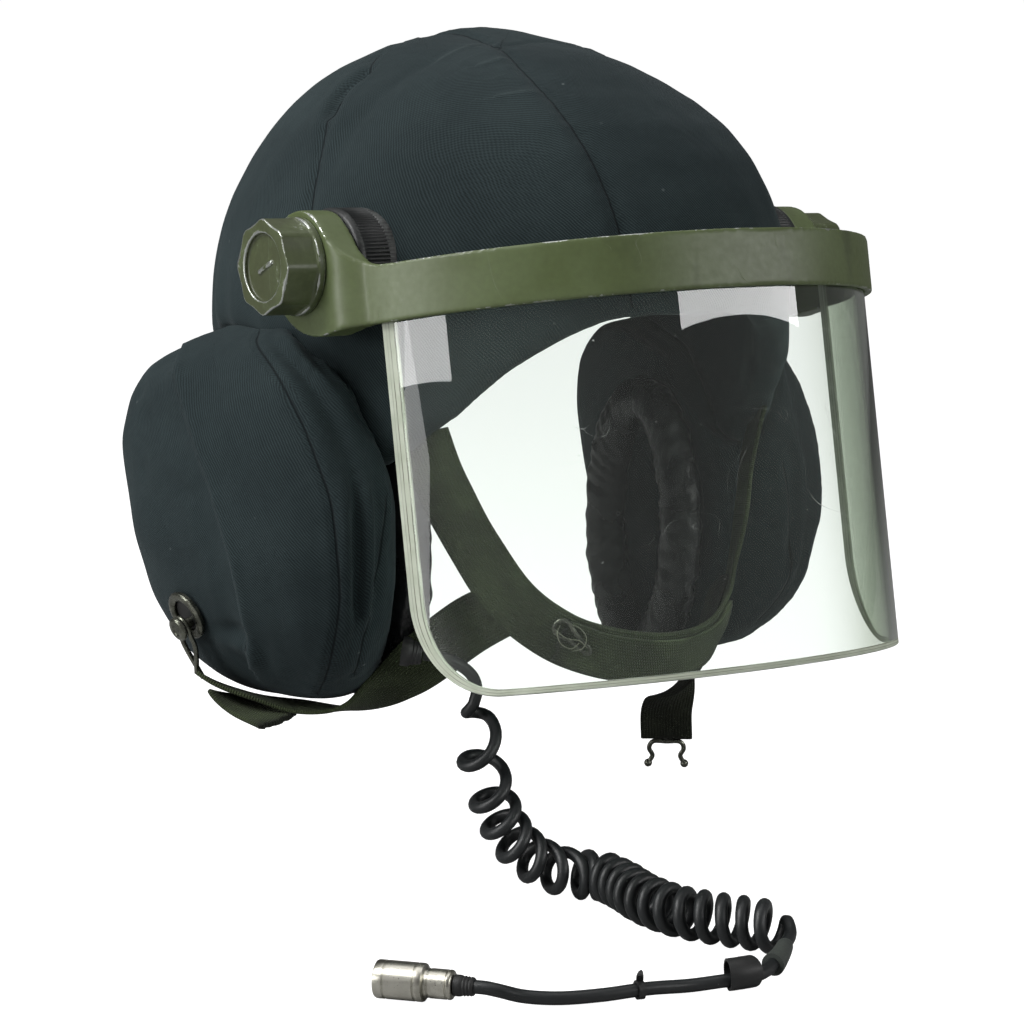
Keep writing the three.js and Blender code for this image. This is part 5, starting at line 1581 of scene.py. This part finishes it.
def makeShieldLooks():
    material, tree, shader, place = newMaterial("clear_shield")
    here = place.outputs["Object"]
    scratch = useGroup(tree, scratchGroup, {"Place": here, "Size": 0.06, "Width": 0.0007})
    mottle = useGroup(tree, mottlingGroup, {"Place": here, "Size": 0.03, "Speck Size": 0.004})
    strip = useGroup(tree, frostGroup, {
        "Place": here, "Rim": attributeValue(tree, "rim"), "Frost": shieldLook["frost"],
        "Light": shieldLook["frostLight"], "Line": shieldLook["line"]})
    frost = strip.outputs["Share"]
    # Seen along its length the sheet is thick, so its limb is darker
    facing = addNode(tree, "ShaderNodeLayerWeight", {"Blend": 0.5}).outputs["Facing"]
    base = mixed(tree, ramped(tree, facing, 0.3, 0.62), shieldLook["tint"], shieldLook["limb"])
    base = mixed(tree, frost, base, strip.outputs["Color"])
    tree.links.new(base, shader.inputs["Base Color"])
    shader.inputs["Transmission Weight"].default_value = 1.0
    shader.inputs["IOR"].default_value = 1.49
    marks = calc(tree, "MAXIMUM", calc(tree, "MULTIPLY", scratch.outputs["Scratch"], 0.7),
                 calc(tree, "MULTIPLY", mottle.outputs["Specks"], 0.5))
    rough = calc(tree, "MULTIPLY_ADD", marks, 0.3, 0.008)
    tree.links.new(calc(tree, "MULTIPLY_ADD", frost, 0.4, rough), shader.inputs["Roughness"])
    haze = addNode(tree, "ShaderNodeBsdfDiffuse")
    tree.links.new(mixed(tree, frost, color(0.8, 0.83, 0.8), strip.outputs["Color"]), haze.inputs["Color"])
    share = calc(tree, "MULTIPLY_ADD", marks, 0.25, 0.008)
    hazeShare = calc(tree, "MULTIPLY_ADD", frost, 0.8, share, clamp=True)
    hazed = addNode(tree, "ShaderNodeMixShader", {0: hazeShare})
    tree.links.new(shader.outputs[0], hazed.inputs[1])
    tree.links.new(haze.outputs[0], hazed.inputs[2])
    through = addNode(tree, "ShaderNodeBsdfTransparent", {"Color": color(0.93, 0.96, 0.94)})
    rays = addNode(tree, "ShaderNodeLightPath")
    whole = addNode(tree, "ShaderNodeMixShader", {0: rays.outputs["Is Shadow Ray"]})
    tree.links.new(hazed.outputs[0], whole.inputs[1])
    tree.links.new(through.outputs[0], whole.inputs[2])
    tree.links.new(whole.outputs[0], tree.nodes["Material Output"].inputs["Surface"])
    # The edge is opaque and painted pale: painted light standing in for the glow of the clear sheet seen
    # edge-on
    edge, tree, shader, place = newMaterial("shield_edge")
    here = place.outputs["Object"]
    mottle = useGroup(tree, mottlingGroup, {"Place": here, "Size": 0.02, "Speck Size": 0.002})
    base = mixed(tree, mottle.outputs["Shade"], shieldLook["frost"], color(0.8, 0.84, 0.78))
    tree.links.new(base, shader.inputs["Base Color"])
    roughness = calc(tree, "MULTIPLY_ADD", mottle.outputs["Grain"], 0.25, 0.22)
    tree.links.new(roughness, shader.inputs["Roughness"])
    shader.inputs["Subsurface Weight"].default_value = 0.4
    shader.inputs["Subsurface Radius"].default_value = (0.004, 0.004, 0.004)
    bumped(tree, shader, noise(tree, scaled(tree, here, [1, 1, 0.2]), 0.0012, 3), 0.25, 0.0003)
    return material, edge


def makePlastic():
    material, tree, shader, place = newMaterial("black_plastic")
    here = place.outputs["Object"]
    mottle = useGroup(tree, mottlingGroup, {"Place": here, "Size": 0.015, "Speck Size": 0.003})
    worn = useGroup(tree, wearGroup, {"Place": here, "Edge": attributeValue(tree, "edge"), "Amount": 0.2})
    base = mixed(tree, mottle.outputs["Shade"], color(0.008, 0.009, 0.009), color(0.016, 0.018, 0.018))
    base = mixed(tree, calc(tree, "MULTIPLY", worn.outputs["Rubbed"], 0.5), base, color(0.09, 0.095, 0.09))
    tree.links.new(base, shader.inputs["Base Color"])
    roughness = calc(tree, "MULTIPLY_ADD", mottle.outputs["Grain"], 0.2, 0.36)
    tree.links.new(roughness, shader.inputs["Roughness"])
    bumped(tree, shader, noise(tree, here, 0.0007, 2), 0.2, 0.0002)
    return material


def makeSteel():
    material, tree, shader, place = newMaterial("dark_steel")
    here = place.outputs["Object"]
    mottle = useGroup(tree, mottlingGroup, {"Place": here, "Size": 0.006, "Speck Size": 0.0012})
    spots = ramped(tree, noise(tree, here, 0.0035, 5, 0.65), 0.5, 0.68)
    base = mixed(tree, mottle.outputs["Shade"], color(0.1, 0.105, 0.085), color(0.22, 0.225, 0.185))
    base = mixed(tree, calc(tree, "MULTIPLY", spots, 0.8), base, color(0.03, 0.027, 0.02))
    tree.links.new(base, shader.inputs["Base Color"])
    tree.links.new(calc(tree, "MULTIPLY_ADD", spots, -0.35, 0.95), shader.inputs["Metallic"])
    tree.links.new(calc(tree, "MULTIPLY_ADD", spots, 0.3, 0.27), shader.inputs["Roughness"])
    bumped(tree, shader, noise(tree, here, 0.0009, 4), 0.3, 0.0003)
    return material


# The second dark and light pair paints shade into the webbing: the far side's rear strap gets a darker copy
# of the same webbing
webLook = {
    "dark": color(0.02, 0.027, 0.011), "light": color(0.056, 0.073, 0.034),
    "shadedDark": color(0.006, 0.0075, 0.004), "shadedLight": color(0.02, 0.024, 0.013),
    "fray": color(0.012, 0.013, 0.01), "rib": 1.35, "pick": 1.05,
}


def makeWebbing(name, dark, light):
    material, tree, shader, place = newMaterial(name)
    here = place.outputs["Object"]
    across = attributeValue(tree, "across")
    along = attributeValue(tree, "along")
    mottle = useGroup(tree, mottlingGroup, {"Place": here, "Size": 0.025, "Speck Size": 0.003})
    rib = calc(tree, "SINE", calc(tree, "MULTIPLY", across, 2 * math.pi / webLook["rib"]))
    # Neighbouring ribs are half a pick apart, as warp ends float in turn
    step = calc(tree, "FLOOR", calc(tree, "DIVIDE", across, webLook["rib"]))
    shifted = calc(tree, "MULTIPLY_ADD", step, webLook["pick"] / 2, along)
    pick = calc(tree, "SINE", calc(tree, "MULTIPLY", shifted, 2 * math.pi / webLook["pick"]))
    woven = calc(tree, "MULTIPLY_ADD", pick, 0.45, calc(tree, "MULTIPLY", rib, 0.55))
    mottled = calc(tree, "MULTIPLY", mottle.outputs["Shade"], 0.75)
    shade = calc(tree, "MULTIPLY_ADD", woven, 0.28, mottled, clamp=True)
    base = mixed(tree, shade, dark, light)
    edge = ramped(tree, calc(tree, "ABSOLUTE", across), 10.3, 11.6)
    base = mixed(tree, calc(tree, "MULTIPLY", edge, 0.35), base, dark)
    fray = calc(tree, "MULTIPLY", attributeValue(tree, "frayed"), 0.9, clamp=True)
    base = mixed(tree, fray, base, webLook["fray"])
    base = mixed(tree, calc(tree, "MULTIPLY", mottle.outputs["Specks"], 0.4), base, color(0.2, 0.21, 0.17))
    tree.links.new(base, shader.inputs["Base Color"])
    shader.inputs["Roughness"].default_value = 0.82
    shader.inputs["Specular IOR Level"].default_value = 0.2
    shader.inputs["Sheen Weight"].default_value = 0.05
    fuzz = calc(tree, "MULTIPLY", noise(tree, here, 0.0012, 3), 0.5)
    height = calc(tree, "MULTIPLY_ADD", woven, 0.8, fuzz)
    bumped(tree, shader, height, 0.7, 0.0006)
    return material


def makeThread():
    material, tree, shader, place = newMaterial("thread")
    here = place.outputs["Object"]
    tone = noise(tree, here, 0.002, 3)
    base = mixed(tree, tone, color(0.05, 0.055, 0.035), color(0.24, 0.24, 0.18))
    tree.links.new(base, shader.inputs["Base Color"])
    shader.inputs["Roughness"].default_value = 0.8
    bumped(tree, shader, noise(tree, here, 0.0005, 2), 0.4, 0.0002)
    return material


def makeRubber(name, base, highlight, rough):
    material, tree, shader, place = newMaterial(name)
    here = place.outputs["Object"]
    mottle = useGroup(tree, mottlingGroup, {"Place": here, "Size": 0.02, "Speck Size": 0.0025})
    tone = mixed(tree, mottle.outputs["Shade"], base, highlight)
    tone = mixed(tree, calc(tree, "MULTIPLY", mottle.outputs["Specks"], 0.35), tone, color(0.3, 0.31, 0.3))
    tree.links.new(tone, shader.inputs["Base Color"])
    roughness = calc(tree, "MULTIPLY_ADD", mottle.outputs["Grain"], 0.25, rough)
    tree.links.new(roughness, shader.inputs["Roughness"])
    bumped(tree, shader, noise(tree, here, 0.0012, 3), 0.22, 0.0003)
    return material


def makeNickel():
    material, tree, shader, place = newMaterial("nickel")
    here = place.outputs["Object"]
    mottle = useGroup(tree, mottlingGroup, {"Place": here, "Size": 0.008, "Speck Size": 0.0015})
    worn = useGroup(tree, wearGroup, {"Place": here, "Edge": attributeValue(tree, "edge"), "Amount": 0.4})
    base = mixed(tree, mottle.outputs["Shade"], color(0.36, 0.35, 0.295), color(0.52, 0.505, 0.44))
    base = mixed(tree, calc(tree, "MULTIPLY", worn.outputs["Rubbed"], 0.4), base, color(0.75, 0.73, 0.66))
    tree.links.new(base, shader.inputs["Base Color"])
    shader.inputs["Metallic"].default_value = 1.0
    roughness = calc(tree, "MULTIPLY_ADD", mottle.outputs["Grain"], 0.22, 0.2)
    tree.links.new(roughness, shader.inputs["Roughness"])
    brushed = addNode(tree, "ShaderNodeVectorMath", {0: here, 1: unit([-0.6, 0.8, 0]).tolist()},
                      operation="DOT_PRODUCT").outputs["Value"]
    lines = addNode(tree, "ShaderNodeTexNoise", {"W": brushed, "Scale": 6000.0, "Detail": 2.0},
                    noise_dimensions="1D").outputs["Fac"]
    bumped(tree, shader, lines, 0.12, 0.0002)
    return material


clothMaterial = makeCloth()
vinylMaterial = makeVinyl()
bandMaterial = makePaint("band_paint", 0.1, 0.35, paintLook["base"])
knobMaterial = makePaint("knob_paint", 0.8, 0.6, paintLook["knob"])
shieldMaterial, edgeMaterial = makeShieldLooks()
plasticMaterial = makePlastic()
steelMaterial = makeSteel()
webbingMaterial = makeWebbing("webbing", webLook["dark"], webLook["light"])
# Painted shade: the rear left strap, on the far side, is the same webbing made darker
shadedWebbingMaterial = makeWebbing("shaded_webbing", webLook["shadedDark"], webLook["shadedLight"])
threadMaterial = makeThread()
cordMaterial = makeRubber("cord_rubber", color(0.006, 0.0075, 0.008), color(0.012, 0.014, 0.015), 0.32)
sleeveMaterial = makeRubber("sleeve_rubber", color(0.03, 0.036, 0.033), color(0.05, 0.058, 0.05), 0.5)
darkMaterial = makeRubber("dark_rubber", color(0.007, 0.008, 0.008), color(0.014, 0.014, 0.014), 0.4)
nickelMaterial = makeNickel()

dressing = {
    "crown_cloth": [clothMaterial], "ear_cloth_right": [clothMaterial], "ear_cloth_left": [clothMaterial],
    "ear_ring_right": [vinylMaterial], "ear_ring_left": [vinylMaterial],
    "painted_band": [bandMaterial], "turn_knob_right": [knobMaterial], "turn_knob_left": [knobMaterial],
    "clear_sheet": [shieldMaterial, edgeMaterial],
    "ribbed_disc_right": [plasticMaterial], "ribbed_disc_left": [plasticMaterial],
    "chin_web": [webbingMaterial], "chin_patch": [webbingMaterial], "rear_web_right": [webbingMaterial],
    "rear_web_left": [shadedWebbingMaterial], "strap_stitches": [webbingMaterial],
    "hook_right": [steelMaterial], "hook_left": [steelMaterial], "hook_ball_outer": [steelMaterial],
    "hook_ball_inner": [steelMaterial], "chin_ring": [steelMaterial], "grommet_right": [steelMaterial],
    "grommet_left": [steelMaterial], "stud_right": [steelMaterial], "stud_left": [steelMaterial],
    "grommet_hole_right": [darkMaterial], "grommet_hole_left": [darkMaterial],
    "loose_thread_0": [threadMaterial], "loose_thread_1": [threadMaterial],
    "loose_thread_2": [threadMaterial],
    "curly_lead": [cordMaterial], "lead_gland": [darkMaterial], "lead_sleeve": [sleeveMaterial],
    "lead_tube": [darkMaterial], "lead_tie": [darkMaterial], "lead_boot": [darkMaterial],
    "lead_plug": [nickelMaterial], "plug_pins": [nickelMaterial],
}
for name, looks in dressing.items():
    data = bpy.data.objects[name].data
    if len(data.materials) == 0:
        for look in looks:
            data.materials.append(look)
    else:
        data.materials.clear()
        for look in looks:
            data.materials.append(look)
print("materials done")

# Floor, lights and a white surround


# One where the camera sees a thing straight or through the shield, nought where that thing only
# lights the helmet or is mirrored in it
def seenDirectly(tree):
    rays = addNode(tree, "ShaderNodeLightPath")
    seen = calc(tree, "MAXIMUM", rays.outputs["Is Camera Ray"], rays.outputs["Is Transmission Ray"])
    return calc(tree, "MULTIPLY", seen, calc(tree, "LESS_THAN", rays.outputs["Glossy Depth"], 0.5))


floorReach = 6
floorLevel = -0.3463
floorSigns = ((-1, -1), (1, -1), (1, 1), (-1, 1))
floorCorners = [(x * floorReach, y * floorReach, floorLevel) for x, y in floorSigns]
floorData = meshFrom("floor", floorCorners, [(0, 1, 2, 3)])
floor = bpy.data.objects.new("floor", floorData)
bpy.context.scene.collection.objects.link(floor)
floorMaterial, floorTree, floorShader, _ = newMaterial("floor")
floorShader.inputs["Base Color"].default_value = color(0.35, 0.35, 0.35)
floorShader.inputs["Roughness"].default_value = 0.7
floorShader.inputs["Specular IOR Level"].default_value = 0.1
floorShader.inputs["Emission Color"].default_value = color(1.0, 1.0, 1.0)
floorTree.links.new(seenDirectly(floorTree), floorShader.inputs["Emission Strength"])
floorData.materials.append(floorMaterial)

world = bpy.data.worlds.new("surround")
world.use_nodes = True
world.node_tree.nodes["Background"].inputs["Color"].default_value = color(1.0, 1.0, 1.0)
# Seen straight or through the shield the surround is white; as a light it is softer.
surroundStrength = calc(world.node_tree, "MULTIPLY_ADD", seenDirectly(world.node_tree), 0.86, 0.15)
world.node_tree.links.new(surroundStrength, world.node_tree.nodes["Background"].inputs["Strength"])
bpy.context.scene.world = world

lightRows = [
    ("key", [-1.7, 0.75, 1.0], [-1.1, -0.15, 1.2], [0.0, -0.05, -0.1], 0.9, 34.0),
    ("left", [-1.6, 0.56, 0.0], [-1.71, -0.21, 0.13], [-0.11, -0.12, -0.12], 0.3, 7.5),
    ("leftLow", [-1.675, 0.185, -0.085], [-1.63, 0.375, -0.295], [-0.11, -0.12, -0.16], 0.2, 0.7),
    ("right", [0.05, -1.74, 0.34], [1.37, -1.0, 0.21], [-0.02, -0.19, -0.1], 0.16, 8.5),
    ("front", [-0.75, -1.1, 1.5], [0.05, -1.1, 1.5], [0.0, -0.05, -0.12], 0.8, 1.0),
    ("top", [-0.7, 0.1, 1.7], [0.9, 0.1, 1.7], [0.0, 0.1, 0.0], 1.6, 11.0),
]
# Each softbox lies along the line from its start to its end and faces its target.
for name, start, end, target, height, power in lightRows:
    middle = (Vector(start) + Vector(end)) / 2
    along = Vector(end) - Vector(start)
    width = along.length
    along.normalize()
    back = middle - Vector(target)
    back = (back - along * back.dot(along)).normalized()
    lamp = bpy.data.lights.new(name, "AREA")
    lamp.shape = "RECTANGLE"
    lamp.size = width
    lamp.size_y = height
    lamp.energy = power
    lampObject = bpy.data.objects.new(name, lamp)
    turned = Matrix((along, back.cross(along), back)).transposed().to_4x4()
    lampObject.matrix_world = Matrix.Translation(middle) @ turned
    lampObject.visible_camera = False
    lampObject.visible_transmission = False
    bpy.context.scene.collection.objects.link(lampObject)
bpy.context.scene.view_settings.view_transform = "Standard"
print("stage done")
